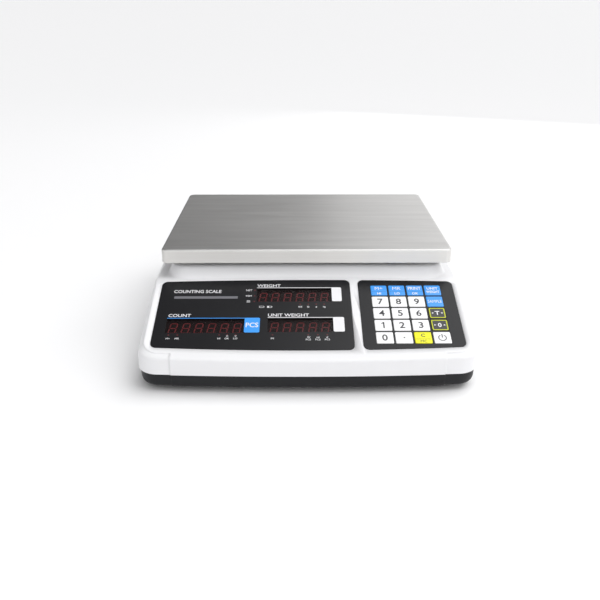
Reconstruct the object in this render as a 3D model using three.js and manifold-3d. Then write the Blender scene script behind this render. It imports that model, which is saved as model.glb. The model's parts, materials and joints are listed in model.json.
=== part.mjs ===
// Counting scale: a white moulded cover on a black moulded base, a stainless platter carried by one load cell,
// a sloping console with LED windows and a twenty-key keypad, a battery and levelling feet.
// Millimetres, +Z up, -Y is the side the user stands at. The origin is the centre of the footprint, on the table.
import * as THREE from "three";
import { mergeVertices } from "three/addons/utils/BufferGeometryUtils.js";
import Module from "manifold-3d";

const wasm = await Module();
wasm.setup();

// ---- driving dimensions -------------------------------------------------------------------------------------
const BODY_WIDTH = 330;
const BODY_DEPTH = 350;
const TOTAL_HEIGHT = 108;
const CORNER_RADIUS = 22;
const FRONT_BOW = 4; // the front edge bulges this far at its middle
const NOSE_STEP = 0.8; // the middle of the front stands this far proud of its corners
const NOSE_HALF = 131; // half the width of that middle
const GAP = 0.3; // clearance between pieces that touch on the real object

const BASE_BOTTOM = 6; // underside of the base above the table
const SEAM = 20.5; // lower edge of the cover
const BASE_INSET = 1.6; // the base is this much smaller than the cover, all round
const WALL = 2.6;
const FLOOR = 8.6; // top of the base's floor

const SLOPE = Math.atan(0.35); // console tilt
const CONSOLE_FRONT_Y = -159.6; // lower edge of the panels, local s = 0
const CONSOLE_FRONT_Z = 42.3;
const CONSOLE_WALL = 5.5;
const CONSOLE_END_Y = -62.6; // where the console meets the riser under the platter
const LEDGE_DROP = 1.2; // step from the console down to the ledge round it
const LEDGE_WIDTH = 6.2;

const DECK = 88; // top of the cover under the platter
const PLATTER = { half: 153, front: -62.4, back: 159.6, radius: 7, skirt: 15, sheet: 1 };
const PAN_Y = (PLATTER.front + PLATTER.back) / 2; // the load cell is centred under the platter
const PAN_REST = TOTAL_HEIGHT - PLATTER.sheet;

const KEY = { columns: 4, rows: 5, left: 66.2, bottom: 6.4, pitchX: 18.6, pitchS: 17.05, width: 17.3, height: 15.7 };
const KEY_UNDERSIDE = -0.9; // over the console plane
const KEY_TRAVEL_ROOM = 0.8; // from a key's underside to the board below it
const FOOT = { x: 132, front: -135, back: 140, sole: 12, disc: 14, stud: 4 };

const front = -BODY_DEPTH / 2 + FRONT_BOW + NOSE_STEP;
const back = BODY_DEPTH / 2;
const half = BODY_WIDTH / 2;
const cornerX = half - CORNER_RADIUS;

// ---- colours ------------------------------------------------------------------------------------------------
const material = (color, roughness, metalness = 0) =>
  new THREE.MeshStandardMaterial({ color, roughness, metalness });
const white = material(0xeeeef0, 0.35);
const black = material(0x26272b, 0.45);
const panel = material(0x232327, 0.3);
const red = material(0x3a0d10, 0.1);
const steel = material(0x9a9a9c, 0.35, 1);
const alloy = material(0xb4b6ba, 0.4, 1);
const zinc = material(0xa8aaad, 0.35, 1);
const rubber = material(0x1b1b1c, 0.8);
const board = material(0x1d5b3a, 0.5);
const keyWhite = material(0xf4f4f5, 0.4);
const keyBlue = material(0x3ea0f2, 0.4);
const keyYellow = material(0xf2ee12, 0.4);
const keyBlack = material(0x202024, 0.4);
const glass = material(0xb7d66a, 0.05);
const digits = material(0x2a1012, 0.4);
const cellGrey = material(0x4a4d52, 0.6);

// ---- solids -------------------------------------------------------------------------------------------------
// A closed three.js geometry as a solid that can be joined and cut.
function solid(geometry) {
  geometry.deleteAttribute("normal");
  geometry.deleteAttribute("uv");
  const merged = mergeVertices(geometry, 1e-4);
  return new wasm.Manifold(
    new wasm.Mesh({
      numProp: 3,
      vertProperties: new Float32Array(merged.attributes.position.array),
      triVerts: new Uint32Array(merged.index.array),
    }),
  );
}

function geometryOf(made) {
  const mesh = made.getMesh();
  const count = mesh.vertProperties.length / mesh.numProp;
  const position = new Float32Array(count * 3);
  for (let i = 0; i < count; i++)
    position.set(mesh.vertProperties.subarray(i * mesh.numProp, i * mesh.numProp + 3), i * 3);
  const geometry = new THREE.BufferGeometry();
  geometry.setAttribute("position", new THREE.BufferAttribute(position, 3));
  geometry.setIndex(new THREE.BufferAttribute(new Uint32Array(mesh.triVerts), 1));
  return geometry;
}

// A box between two corners.
function box(x0, y0, z0, x1, y1, z1) {
  const made = new THREE.BoxGeometry(x1 - x0, y1 - y0, z1 - z0);
  made.translate((x0 + x1) / 2, (y0 + y1) / 2, (z0 + z1) / 2);
  return solid(made);
}

// An upright cylinder.
function post(x, y, z0, z1, radius, sides = 16) {
  const made = new THREE.CylinderGeometry(radius, radius, z1 - z0, sides);
  made.rotateX(Math.PI / 2);
  made.translate(x, y, (z0 + z1) / 2);
  return solid(made);
}

// A cylinder lying along Y.
function bar(x, z, y0, y1, radius, sides = 16) {
  const made = new THREE.CylinderGeometry(radius, radius, y1 - y0, sides);
  made.translate(x, (y0 + y1) / 2, z);
  return solid(made);
}

const union = (...parts) => parts.reduce((a, b) => a.add(b));
const cut = (from, ...tools) => tools.reduce((a, b) => a.subtract(b), from);

// A closed outline, mirrored about x = 0: a rectangle with rounded corners whose front edge may bulge.
// It starts at the middle of the front and runs anticlockwise seen from above.
function outline({ half, front, back, radius, bow = 0, nose = 0, sides = [], arc = 5 }) {
  const straight = half - radius;
  const right = [];
  for (const share of [0, 0.35, 0.7, (NOSE_HALF - 0.2) / cornerX, (NOSE_HALF + 0.2) / cornerX]) {
    const ledge = share * cornerX > NOSE_HALF;
    const x = share * straight;
    right.push({ x, y: front - bow * (1 - share * share) - (ledge ? 0 : nose), ledge });
  }
  for (let i = 0; i <= arc; i++) {
    const a = -Math.PI / 2 + (i / arc) * (Math.PI / 2);
    right.push({ x: straight + radius * Math.cos(a), y: front + radius + radius * Math.sin(a), ledge: true });
  }
  for (const y of sides) right.push({ x: half, y, ledge: true });
  for (let i = 0; i <= arc; i++) {
    const a = (i / arc) * (Math.PI / 2);
    right.push({ x: straight + radius * Math.cos(a), y: back - radius + radius * Math.sin(a), ledge: true });
  }
  right.push({ x: 0, y: back, ledge: true });
  const left = right.slice(1, -1).reverse().map((p) => ({ ...p, x: -p.x }));
  return [...right, ...left];
}

// A ring is an outline with a height for each of its points.
function ring(shape, height) {
  const z = typeof height === "function" ? height : () => height;
  return outline(shape).map((p) => new THREE.Vector3(p.x, p.y, z(p)));
}

// The solid between the first ring and the last, each ring joined to the next, both ends closed strip by strip
// from the right half of the outline to the left.
function loft(rings) {
  const n = rings[0].length;
  const triangles = [];
  for (let k = 0; k + 1 < rings.length; k++)
    for (let i = 0; i < n; i++) {
      const a = k * n + i;
      const b = k * n + ((i + 1) % n);
      triangles.push(a, b, b + n, a, b + n, a + n);
    }
  for (const [start, up] of [[0, false], [(rings.length - 1) * n, true]])
    for (let i = 0; i < n / 2; i++) {
      const a = start + i;
      const b = start + i + 1;
      const c = start + ((n - i) % n);
      const d = start + n - i - 1;
      for (const [p, q, r] of [[a, b, d], [a, d, c]])
        if (p !== q && q !== r && p !== r) triangles.push(...(up ? [p, q, r] : [p, r, q]));
    }
  const vertProperties = new Float32Array(rings.flat().flatMap((v) => [v.x, v.y, v.z]));
  const made = new wasm.Mesh({ numProp: 3, vertProperties, triVerts: new Uint32Array(triangles) });
  return new wasm.Manifold(made);
}

// ---- the body's own outlines and heights ----------------------------------------------------------------------
const SIDE_STATIONS = [-144, -120, -97, -80, CONSOLE_END_Y, -46, -20, 5, 75];
const bodyShape = (inset, bow = FRONT_BOW) => ({
  half: half - inset,
  front: front + inset,
  back: back - inset,
  radius: CORNER_RADIUS - inset,
  bow,
  nose: NOSE_STEP,
  sides: SIDE_STATIONS,
});

// Height of the console plane, level behind the console.
function consoleZ(y) {
  return CONSOLE_FRONT_Z + Math.tan(SLOPE) * (Math.min(y, CONSOLE_END_Y) - CONSOLE_FRONT_Y);
}

// Height of the shoulder's outer edge: level round the front corners, rising with the console, level at the back.
const SHOULDER = [[-146, 38], [-96.4, 55.4], [-46.4, 66.8], [1.8, 68.7]];
function shoulderZ(y) {
  if (y <= SHOULDER[0][0]) return SHOULDER[0][1];
  for (let i = 1; i < SHOULDER.length; i++) {
    const [y0, z0] = SHOULDER[i - 1];
    const [y1, z1] = SHOULDER[i];
    if (y <= y1) return z0 + ((z1 - z0) * (y - y0)) / (y1 - y0);
  }
  return SHOULDER[SHOULDER.length - 1][1];
}

// A group lying in the console: x to the right, y up the slope from the panels' lower edge, z out of the face.
function consoleGroup() {
  const group = new THREE.Group();
  group.position.set(0, CONSOLE_FRONT_Y, CONSOLE_FRONT_Z);
  group.rotation.x = SLOPE;
  group.updateMatrix();
  return group;
}
const onConsole = (made) => {
  const geometry = geometryOf(made).applyMatrix4(consoleGroup().matrix);
  return solid(geometry);
};

// ---- console panels -------------------------------------------------------------------------------------------
// Panels are rectangles whose lower and upper edges bulge with the front of the cover.
const PANEL = { display: [-151.5, 45], keypad: [53.5, 152.5], radius: 6 };
const lowerEdge = (x) => -1.8 + 4.2 * (x / 150) ** 2;
const upperEdge = (x) => 99.3 - 2.6 * (x / 150) ** 2;

function panelShape(x0, x1, grow = 0) {
  const r = PANEL.radius;
  const shape = new THREE.Shape();
  const steps = 6;
  const points = [];
  const corner = (cx, cy, from) => {
    for (let i = 0; i <= 4; i++) {
      const a = from + (i / 4) * (Math.PI / 2);
      points.push(new THREE.Vector2(cx + (r + grow) * Math.cos(a), cy + (r + grow) * Math.sin(a)));
    }
  };
  const edge = (from, to, curve, shift) => {
    for (let i = 1; i < steps; i++) {
      const x = from + ((to - from) * i) / steps;
      points.push(new THREE.Vector2(x, curve(x) + shift));
    }
  };
  corner(x0 + r, lowerEdge(x0 + r) + r, Math.PI);
  edge(x0 + r, x1 - r, lowerEdge, -grow);
  corner(x1 - r, lowerEdge(x1 - r) + r, -Math.PI / 2);
  corner(x1 - r, upperEdge(x1 - r) - r, 0);
  edge(x1 - r, x0 + r, upperEdge, grow);
  corner(x0 + r, upperEdge(x0 + r) - r, Math.PI / 2);
  shape.setFromPoints(points);
  return shape;
}

// A rectangle with small corners, as points.
function smallRectangle(x0, y0, x1, y1, r) {
  const c = r * 0.3;
  return [
    [x0 + r, y0], [x1 - r, y0], [x1 - c, y0 + c], [x1, y0 + r],
    [x1, y1 - r], [x1 - c, y1 - c], [x1 - r, y1], [x0 + r, y1],
    [x0 + c, y1 - c], [x0, y1 - r], [x0, y0 + r], [x0 + c, y0 + c],
  ].map(([x, y]) => new THREE.Vector2(x, y));
}

// A flat piece between two heights over the console plane.
function plate(shape, low, high) {
  const made = new THREE.ExtrudeGeometry(shape, { depth: high - low, bevelEnabled: false, curveSegments: 4 });
  made.translate(0, 0, low);
  return solid(made);
}

// Each window in the console: left, bottom, right, top.
const WINDOWS = {
  weight: [-52, 66, 25.3, 85.6],
  unit_weight: [-39.5, 22.5, 25.3, 41.2],
  count: [-139.8, 21.5, -62.3, 40.8],
};
const DISPLAY_POCKET = [-143, 17, 38, 90];
const KEYPAD_POCKET = [62.5, 3.2, 142.5, 94];
const FILM = 0.6; // panel film thickness
const POCKET_DEPTH = 3;

const keyBox = (column, row, shrink = 0) => {
  const x = KEY.left + column * KEY.pitchX;
  const y = KEY.bottom + row * KEY.pitchS;
  return [x + shrink, y + shrink, x + KEY.width - shrink, y + KEY.height - shrink];
};
const keyCells = [];
for (let row = 0; row < KEY.rows; row++)
  for (let column = 0; column < KEY.columns; column++) keyCells.push([column, row]);

function displayOverlay() {
  const shape = panelShape(...PANEL.display);
  for (const w of Object.values(WINDOWS)) shape.holes.push(new THREE.Path(smallRectangle(...w, 0.8)));
  return plate(shape, -FILM / 2, FILM / 2);
}

function keypadOverlay() {
  const shape = panelShape(...PANEL.keypad);
  for (const cell of keyCells) shape.holes.push(new THREE.Path(smallRectangle(...keyBox(...cell), 1.5)));
  return plate(shape, -FILM / 2, FILM / 2);
}

// A key: a flat pad with a slightly domed top, standing a little proud of the film.
function keyCap(column, row) {
  const levels = [[GAP, KEY_UNDERSIDE], [GAP, 0.35], [GAP + 1.1, 0.7]];
  const n = 12;
  const points = [];
  for (const [shrink, z] of levels)
    for (const p of smallRectangle(...keyBox(column, row, shrink), 1.4)) points.push(p.x, p.y, z);
  const triangles = [];
  for (let k = 0; k < 2; k++)
    for (let i = 0; i < n; i++) {
      const a = k * n + i;
      const b = k * n + ((i + 1) % n);
      triangles.push(a, b, b + n, a, b + n, a + n);
    }
  for (let i = 1; i < n - 1; i++) triangles.push(0, i + 1, i, 2 * n, 2 * n + i, 2 * n + i + 1);
  const geometry = new THREE.BufferGeometry();
  geometry.setAttribute("position", new THREE.Float32BufferAttribute(points, 3));
  geometry.setIndex(triangles);
  return geometry;
}

// ---- cover ----------------------------------------------------------------------------------------------------
// The raised deck under the platter: a low block with rounded corners and leaning sides.
const blockShape = (grow) => ({
  half: 149 + grow,
  front: CONSOLE_END_Y - grow * 1.3,
  back: 167 + grow,
  radius: 22 + grow,
  bow: -2.5,
});
const SCREWS = [[-110, -150], [110, -150], [-30, 160], [30, 160]]; // join the cover to the base
const HOLE_RADIUS = 24; // the platter support passes through here
const PORTS = { serial: [82, 113, 24.5, 37], jack: [54, 68, 24.5, 35.5] }; // x from, x to, z from, z to

function upperHousing() {
  const shell = loft([
    ring(bodyShape(0), SEAM),
    ring(bodyShape(0.5), (p) => (p.ledge ? shoulderZ(p.y) : consoleZ(p.y))),
    ring(bodyShape(LEDGE_WIDTH), (p) => consoleZ(p.y) - (p.ledge ? LEDGE_DROP : 0.01)),
    ring(bodyShape(LEDGE_WIDTH + 0.4), (p) => consoleZ(p.y)),
  ]);
  const block = loft([
    ring(blockShape(5), 64.4),
    ring(blockShape(-4.6), DECK - 1),
    ring(blockShape(-6), DECK),
  ]);
  const cavity = loft([
    ring(bodyShape(WALL), SEAM - 6),
    ring(bodyShape(WALL + 0.5), (p) => (p.ledge ? shoulderZ(p.y) : consoleZ(p.y)) - 3.6),
    ring(bodyShape(LEDGE_WIDTH + WALL), (p) => consoleZ(p.y) - CONSOLE_WALL),
  ]);
  const cavityBlock = loft([ring(blockShape(2), 55), ring(blockShape(-8), DECK - WALL)]);
  const collar = post(0, PAN_Y, DECK - WALL, DECK + 3, HOLE_RADIUS + 2.5, 32);
  const bosses = SCREWS.map(([x, y]) =>
    post(x, y, SEAM + 1.8, consoleZ(y) - CONSOLE_WALL + (y > 0 ? 12 : 1.5), 4.5, 12),
  );
  const pilots = SCREWS.map(([x, y]) => post(x, y, SEAM, 39.2, 2.1, 8));
  const recess = (x, grow = GAP) => onConsole(plate(panelShape(...x, grow), -FILM, 4));
  const pocket = (b, depth) => onConsole(box(b[0], b[1], -depth, b[2], b[3], 4));
  const windows = Object.values(WINDOWS).map((w) => pocket(w, 12));
  const ports = Object.values(PORTS).map(([x0, x1, z0, z1]) =>
    box(x0 - 1.2, back - 12, z0 - 1.2, x1 + 1.2, back + 5, z1 + 1.2),
  );
  return cut(
    union(cut(union(shell, block), cavity, cavityBlock), collar, ...bosses),
    post(0, PAN_Y, 60, 100, HOLE_RADIUS, 32),
    ...pilots,
    recess(PANEL.display),
    recess(PANEL.keypad),
    pocket(DISPLAY_POCKET, POCKET_DEPTH),
    pocket(KEYPAD_POCKET, POCKET_DEPTH),
    ...windows,
    ...ports,
  );
}

// ---- base -----------------------------------------------------------------------------------------------------
const BATTERY = [-150, -5, -80, 96]; // x from, y from, x to, y to
const DOOR = { side: 0.5, hinge: 1.2, thickness: 2.2 }; // clearance round it, more along the hinge
const BOARD_POSTS = [[52, 96], [115, 96], [52, 162], [115, 162]];
const PLATE_BOSSES = [[-68, 22], [68, 22], [-68, 76], [68, 76]];
const feet = {
  front_left: [-FOOT.x, FOOT.front],
  front_right: [FOOT.x, FOOT.front],
  rear_left: [-FOOT.x, FOOT.back],
  rear_right: [FOOT.x, FOOT.back],
};

function lowerHousing() {
  const tub = loft([
    ring(bodyShape(BASE_INSET + 5), BASE_BOTTOM),
    ring(bodyShape(BASE_INSET + 1.4), BASE_BOTTOM + 1.5),
    ring(bodyShape(BASE_INSET), BASE_BOTTOM + 5),
    ring(bodyShape(BASE_INSET), SEAM - 0.6),
    ring(bodyShape(WALL + 0.8), SEAM - 0.6),
    ring(bodyShape(WALL + 0.8), SEAM + 6.5),
  ]);
  const hollow = loft([ring(bodyShape(8), FLOOR), ring(bodyShape(5.6), FLOOR + 3), ring(bodyShape(5.6), 60)]);
  const footPosts = Object.values(feet).map(([x, y]) => post(x, y, FLOOR - 1, 24, 8, 12));
  const screwPosts = SCREWS.map(([x, y]) => post(x, y, FLOOR - 1, SEAM + 1.4, 6.5, 12));
  const boardPosts = BOARD_POSTS.map(([x, y]) => post(x, y, FLOOR - 1, 22.3, 3.5, 8));
  const plateBosses = PLATE_BOSSES.map(([x, y]) => post(x, y, FLOOR - 1, 12, 5, 8));
  const [x0, y0, x1, y1] = BATTERY;
  const bay = cut(
    box(x0 - 2.6, y0 - 2.6, FLOOR - 1, x1 + 2.6, y1 + 2.6, 30),
    box(x0 - 0.8, y0 - 0.8, FLOOR - 2, x1 + 0.8, y1 + 0.8, 31),
  );
  const doorway = box(x0 - DOOR.side, y0 - DOOR.side, 0, x1 + DOOR.hinge, y1 + DOOR.side, FLOOR + 0.5);
  const footHoles = Object.values(feet).map(([x, y]) => post(x, y, 0, 30, FOOT.stud + 0.6, 12));
  const screwHoles = SCREWS.flatMap(([x, y]) => [post(x, y, 0, 12, 4.4, 12), post(x, y, 0, 30, 2.2, 8)]);
  const ports = Object.values(PORTS).map(([a, b, z]) => box(a - 1.2, back - 20, SEAM, b + 1.2, back + 5, 60));
  return cut(
    union(cut(tub, hollow), ...footPosts, ...screwPosts, ...boardPosts, ...plateBosses, bay),
    doorway,
    ...footHoles,
    ...screwHoles,
    ...ports,
  );
}

// A door in the base's underside, with a finger notch at its free edge.
function batteryDoor() {
  const [x0, y0, x1, y1] = BATTERY;
  const leaf = box(x0, y0, BASE_BOTTOM, x1, y1, BASE_BOTTOM + DOOR.thickness);
  const notch = box(x0 - 1, (y0 + y1) / 2 - 9, BASE_BOTTOM - 1, x0 + 3, (y0 + y1) / 2 + 9, BASE_BOTTOM + 1.1);
  return cut(leaf, notch);
}

function battery() {
  const [x0, y0, x1, y1] = BATTERY;
  const case_ = box(x0, y0 + 1, FLOOR + 0.4, x1, y1 - 1, FLOOR + 47);
  const tabs = [x0 + 20, x1 - 20].map((x) => box(x - 2.4, y0 + 6, FLOOR + 46, x + 2.4, y0 + 7, FLOOR + 53));
  return union(case_, ...tabs);
}

// ---- weighing parts ---------------------------------------------------------------------------------------------
const CELL = { length: 130, width: 30, bottom: 20.3, height: 22, bolts: [42, 58], bolt: 2.9, hole: 3.4 };
const cellTop = CELL.bottom + CELL.height;

function basePlate() {
  const sheet = box(-75, 15, 12.3, 75, 83, 15.3);
  const pad = box(-CELL.length / 2, PAN_Y - CELL.width / 2, 15, -34, PAN_Y + CELL.width / 2, CELL.bottom - GAP);
  const stop = post(50, PAN_Y, 15, CELL.bottom - 0.8, 5, 6);
  const holes = CELL.bolts.map((x) => post(-x, PAN_Y, 5, 25, CELL.hole, 10));
  return cut(union(sheet, pad, stop), ...holes);
}

// A single-point beam: two joined bores leave four thin bending sections.
function loadCell() {
  const y0 = PAN_Y - CELL.width / 2;
  const y1 = PAN_Y + CELL.width / 2;
  const middle = CELL.bottom + CELL.height / 2;
  const beam = box(-CELL.length / 2, y0, CELL.bottom, CELL.length / 2, y1, cellTop);
  const bores = [-12, 12].map((x) => bar(x, middle, y0 - 1, y1 + 1, 8.6, 20));
  const slot = box(-12, y0 - 1, middle - 3, 12, y1 + 1, middle + 3);
  const lowHoles = CELL.bolts.map((x) => post(-x, PAN_Y, CELL.bottom - 1, CELL.bottom + 12, CELL.hole, 10));
  const highHoles = CELL.bolts.map((x) => post(x, PAN_Y, cellTop - 16, cellTop + 1, CELL.hole, 10));
  return cut(beam, ...bores, slot, ...lowHoles, ...highHoles);
}

// The casting under the platter: a foot on the cell's free end, a column up through the cover and four arms.
const ARM = { x: 115, y: 80, low: 95, high: 101.6 };
const pads = [[-1, -1], [1, -1], [-1, 1], [1, 1]].map(([i, j]) => [i * ARM.x, PAN_Y + j * ARM.y]);

function panSupport() {
  const foot = box(34, PAN_Y - 15, cellTop + GAP, CELL.length / 2, PAN_Y + 15, 48);
  const bridge = box(-15, PAN_Y - 12, 45, 40, PAN_Y + 12, 53);
  const column = box(-15, PAN_Y - 12, 46, 15, PAN_Y + 12, 97);
  const hub = post(0, PAN_Y, 92, ARM.high, 21, 20);
  const arms = [1, -1].map((side) => {
    const length = 2 * Math.hypot(ARM.x, ARM.y);
    const made = new THREE.BoxGeometry(length, 14, 5);
    made.rotateZ(side * Math.atan2(ARM.y, ARM.x));
    made.translate(0, PAN_Y, ARM.low + 2.5);
    return solid(made);
  });
  const ends = pads.map(([x, y]) => post(x, y, ARM.low, ARM.high, 11, 14));
  const holes = CELL.bolts.map((x) => post(x, PAN_Y, 40, 60, CELL.hole, 10));
  return cut(union(foot, bridge, column, hub, ...arms, ...ends), ...holes, box(36, PAN_Y - 8, 48, 70, PAN_Y + 8, 60));
}

const bolt = (x, y, headLow, headHigh, tip) =>
  union(
    post(x, y, headLow, headHigh, 5, 6),
    post(x, y, Math.min(headLow + 1, tip), Math.max(headLow + 1, tip), CELL.bolt, 10),
  );

function platter() {
  const pan = (inset) => ({
    half: PLATTER.half - inset,
    front: PLATTER.front + inset,
    back: PLATTER.back - inset,
    radius: PLATTER.radius - inset,
  });
  const skirt = TOTAL_HEIGHT - PLATTER.skirt;
  return loft([
    ring(pan(PLATTER.sheet + 1.4), PAN_REST),
    ring(pan(PLATTER.sheet), PAN_REST - 1.4),
    ring(pan(PLATTER.sheet), skirt),
    ring(pan(0), skirt),
    ring(pan(0), TOTAL_HEIGHT - 2.2),
    ring(pan(0.65), TOTAL_HEIGHT - 0.65),
    ring(pan(2.2), TOTAL_HEIGHT),
  ]);
}

// ---- electronics ------------------------------------------------------------------------------------------------
function mainBoard() {
  const sheet = box(48, 92, 22.6, 119, 166, 24.2);
  const parts = [
    box(60, 120, 24, 80, 140, 27),
    box(88, 128, 24, 98, 134, 26),
    box(52, 100, 24, 70, 110, 30),
    post(92, 104, 24, 36, 5, 10),
    post(106, 104, 24, 36, 5, 10),
  ];
  return union(sheet, ...parts);
}

function serialPort() {
  const [x0, x1, z0, z1] = PORTS.serial;
  const flange = box(x0, back - 3.6, z0, x1, back - 2.8, z1);
  const shell = box(x0 + 6, back - 15, z0 + 1.8, x1 - 6, back - 0.5, z1 - 1.8);
  return union(flange, shell);
}

function jack() {
  const [x0, x1, z0, z1] = PORTS.jack;
  const middle = (z0 + z1) / 2;
  return cut(box(x0, back - 15, z0, x1, back - 0.5, z1), bar((x0 + x1) / 2, middle, back - 10, back + 1, 3.4, 14));
}

function bubbleLevel() {
  return union(post(0, -36, DECK + GAP, DECK + 2, 11, 20), post(0, -36, DECK + 1, DECK + 6, 9, 20));
}

// ---- feet ---------------------------------------------------------------------------------------------------------
function footScrew([x, y]) {
  return union(post(x, y, 2.2, 5.6, FOOT.disc, 18), post(x, y, 5, 21, FOOT.stud, 12));
}

function housingScrew([x, y]) {
  return union(post(x, y, 9.2, 11.7, 3.8, 12), post(x, y, 11, 37, 1.6, 8));
}

// ---- assembly -------------------------------------------------------------------------------------------------------
const scale = new THREE.Group();

function add(name, made, look, parent = scale) {
  const mesh = new THREE.Mesh(made.isBufferGeometry ? made : geometryOf(made), look);
  mesh.name = name;
  parent.add(mesh);
}

add("lower_housing", lowerHousing(), black);
add("upper_housing", upperHousing(), white);
add("battery_door", batteryDoor(), black);
add("battery", battery(), cellGrey);
add("base_plate", basePlate(), zinc);
add("load_cell", loadCell(), alloy);
add("pan_support", panSupport(), alloy);
add("platter", platter(), steel);
add("bubble_level", bubbleLevel(), glass);
add("main_board", mainBoard(), board);
add("serial_port", serialPort(), zinc);
add("dc_jack", jack(), black);
CELL.bolts.forEach((x, i) => {
  add(`cell_bolt_base_${i + 1}`, bolt(-x, PAN_Y, 9, 12, 30), zinc);
  add(`cell_bolt_top_${i + 1}`, bolt(x, PAN_Y, 48.3, 52.3, 30), zinc);
});
pads.forEach(([x, y], i) => add(`pan_cushion_${i + 1}`, post(x, y, ARM.high + GAP, PAN_REST - GAP, 8, 14), rubber));
SCREWS.forEach((place, i) => add(`housing_screw_${i + 1}`, housingScrew(place), zinc));
for (const [name, place] of Object.entries(feet)) {
  add(`foot_screw_${name}`, footScrew(place), black);
  add(`foot_sole_${name}`, post(...place, 0, 1.9, FOOT.sole, 18), rubber);
}

const face = consoleGroup();
scale.add(face);
add("display_overlay", displayOverlay(), panel, face);
add("keypad_overlay", keypadOverlay(), panel, face);
const inPocket = (b, low, high, shrink = 0.4) =>
  box(b[0] + shrink, b[1] + shrink, low, b[2] - shrink, b[3] - shrink, high);
add("display_filter", inPocket(DISPLAY_POCKET, -2.7, -0.9), red, face);
add("keypad_board", inPocket(KEYPAD_POCKET, -2.7, KEY_UNDERSIDE - KEY_TRAVEL_ROOM), board, face);
for (const [name, w] of Object.entries(WINDOWS)) add(`display_${name}`, inPocket(w, -11.3, -3.3, 0.5), digits, face);
add("display_board", inPocket([-145, 14, 42, 92], -13.2, -11.6), board, face);

const KEYS = [
  ["0", keyWhite], ["decimal", keyWhite], ["clear", keyYellow], ["power", keyWhite],
  ["1", keyWhite], ["2", keyWhite], ["3", keyWhite], ["zero", keyBlack],
  ["4", keyWhite], ["5", keyWhite], ["6", keyWhite], ["tare", keyBlack],
  ["7", keyWhite], ["8", keyWhite], ["9", keyWhite], ["sample", keyBlue],
  ["memory_add", keyBlue], ["memory_recall", keyBlue], ["print", keyBlue], ["unit_weight", keyBlue],
];
KEYS.forEach(([name, look], i) => add(`key_${name}`, keyCap(...keyCells[i]), look, face));

export default scale;
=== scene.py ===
import json
import math

import bmesh
import bpy
import numpy as np
from bpy.props import FloatProperty, FloatVectorProperty, IntProperty, PointerProperty
from bpy.types import Operator, Panel, PropertyGroup
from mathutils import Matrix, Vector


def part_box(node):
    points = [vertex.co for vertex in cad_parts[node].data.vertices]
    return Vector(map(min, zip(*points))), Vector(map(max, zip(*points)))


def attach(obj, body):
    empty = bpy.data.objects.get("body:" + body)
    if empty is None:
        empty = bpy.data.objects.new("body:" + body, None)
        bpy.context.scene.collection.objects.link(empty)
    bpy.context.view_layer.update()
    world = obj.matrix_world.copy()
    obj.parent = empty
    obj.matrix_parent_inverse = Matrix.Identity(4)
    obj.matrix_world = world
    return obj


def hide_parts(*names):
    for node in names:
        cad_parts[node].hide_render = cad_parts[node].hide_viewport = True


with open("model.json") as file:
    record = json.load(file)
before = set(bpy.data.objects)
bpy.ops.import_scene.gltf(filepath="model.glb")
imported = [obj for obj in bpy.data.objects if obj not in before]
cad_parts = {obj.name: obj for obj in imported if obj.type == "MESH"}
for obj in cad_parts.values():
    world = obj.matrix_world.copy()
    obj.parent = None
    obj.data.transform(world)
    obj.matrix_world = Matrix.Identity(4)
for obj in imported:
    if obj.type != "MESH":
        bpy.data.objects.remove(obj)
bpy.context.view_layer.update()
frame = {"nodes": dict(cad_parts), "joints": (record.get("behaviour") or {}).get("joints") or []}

bl_info = {
    "name": "Counting scale",
    "version": (1, 0, 0),
    "blender": (4, 5, 0),
    "location": "3D View > Sidebar > Scale",
    "description": "Builds the visible pieces of a counting scale on its packed frame",
    "category": "Object",
}

MM = 0.001

# ---- sizes that the frame gives, in millimetres ------------------------------------------------------------


def node_box(name):
    """Lowest and highest corner of a CAD node, in millimetres."""
    low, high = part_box(name)
    return np.array(low) / MM, np.array(high) / MM


COVER_LOW, COVER_HIGH = node_box("upper_housing")
BASE_LOW, BASE_HIGH = node_box("lower_housing")
PLATTER_LOW, PLATTER_HIGH = node_box("platter")
PAN_CENTRE = (PLATTER_LOW[1] + PLATTER_HIGH[1]) / 2

def middle(node):
    """Middle of a node's box seen from above."""
    low, high = node_box(node)
    return (low[:2] + high[:2]) / 2


# The keys travel straight into the console, so their axis gives its tilt.
KEY_AXIS = next(j["axis"] for j in frame["joints"] if j["name"] == "key_0_press")
SLOPE = math.atan2(KEY_AXIS[1], -KEY_AXIS[2])

# ---- sizes of the mouldings, in millimetres ----------------------------------------------------------------
HALF_WIDTH = COVER_HIGH[0]
CORNER = 22.0
BOW = 4.0  # how far the front edge bulges
NOSE = 0.8  # how far the middle of the front stands proud
NOSE_HALF = 131.0
FRONT = COVER_LOW[1] + BOW + NOSE
BACK = COVER_HIGH[1]
SEAM = COVER_LOW[2]
WALL = 2.6
LEDGE = 6.2
LEDGE_DROP = 1.2
CONSOLE_FRONT = np.array([0.0, -159.6, 42.3])
RISER_Y = -62.6
RISER_BOW = 2.5
DECK = 88.0
BLOCK_HALF = 149.2
BLOCK_BACK = 166.8
SHOULDER = np.array([[-146, 38], [-96.4, 55.4], [-46.4, 66.8], [1.8, 68.7]])
DECK_HOLE = 24.0
BASE_INSET = 1.6
FILM = 0.6
INK = 0.03  # thickness of the printing, thick enough not to flicker against the film
PANEL_RADIUS = 6.0
PANEL_LOWER = (-1.8, 4.2)  # height and bulge of the panels' lower edge
PANEL_UPPER = (99.3, -2.6)
KEY_PADS = [name for name in frame["nodes"] if name.startswith("key_")]
WINDOWS = ["display_weight", "display_unit_weight", "display_count"]


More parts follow.
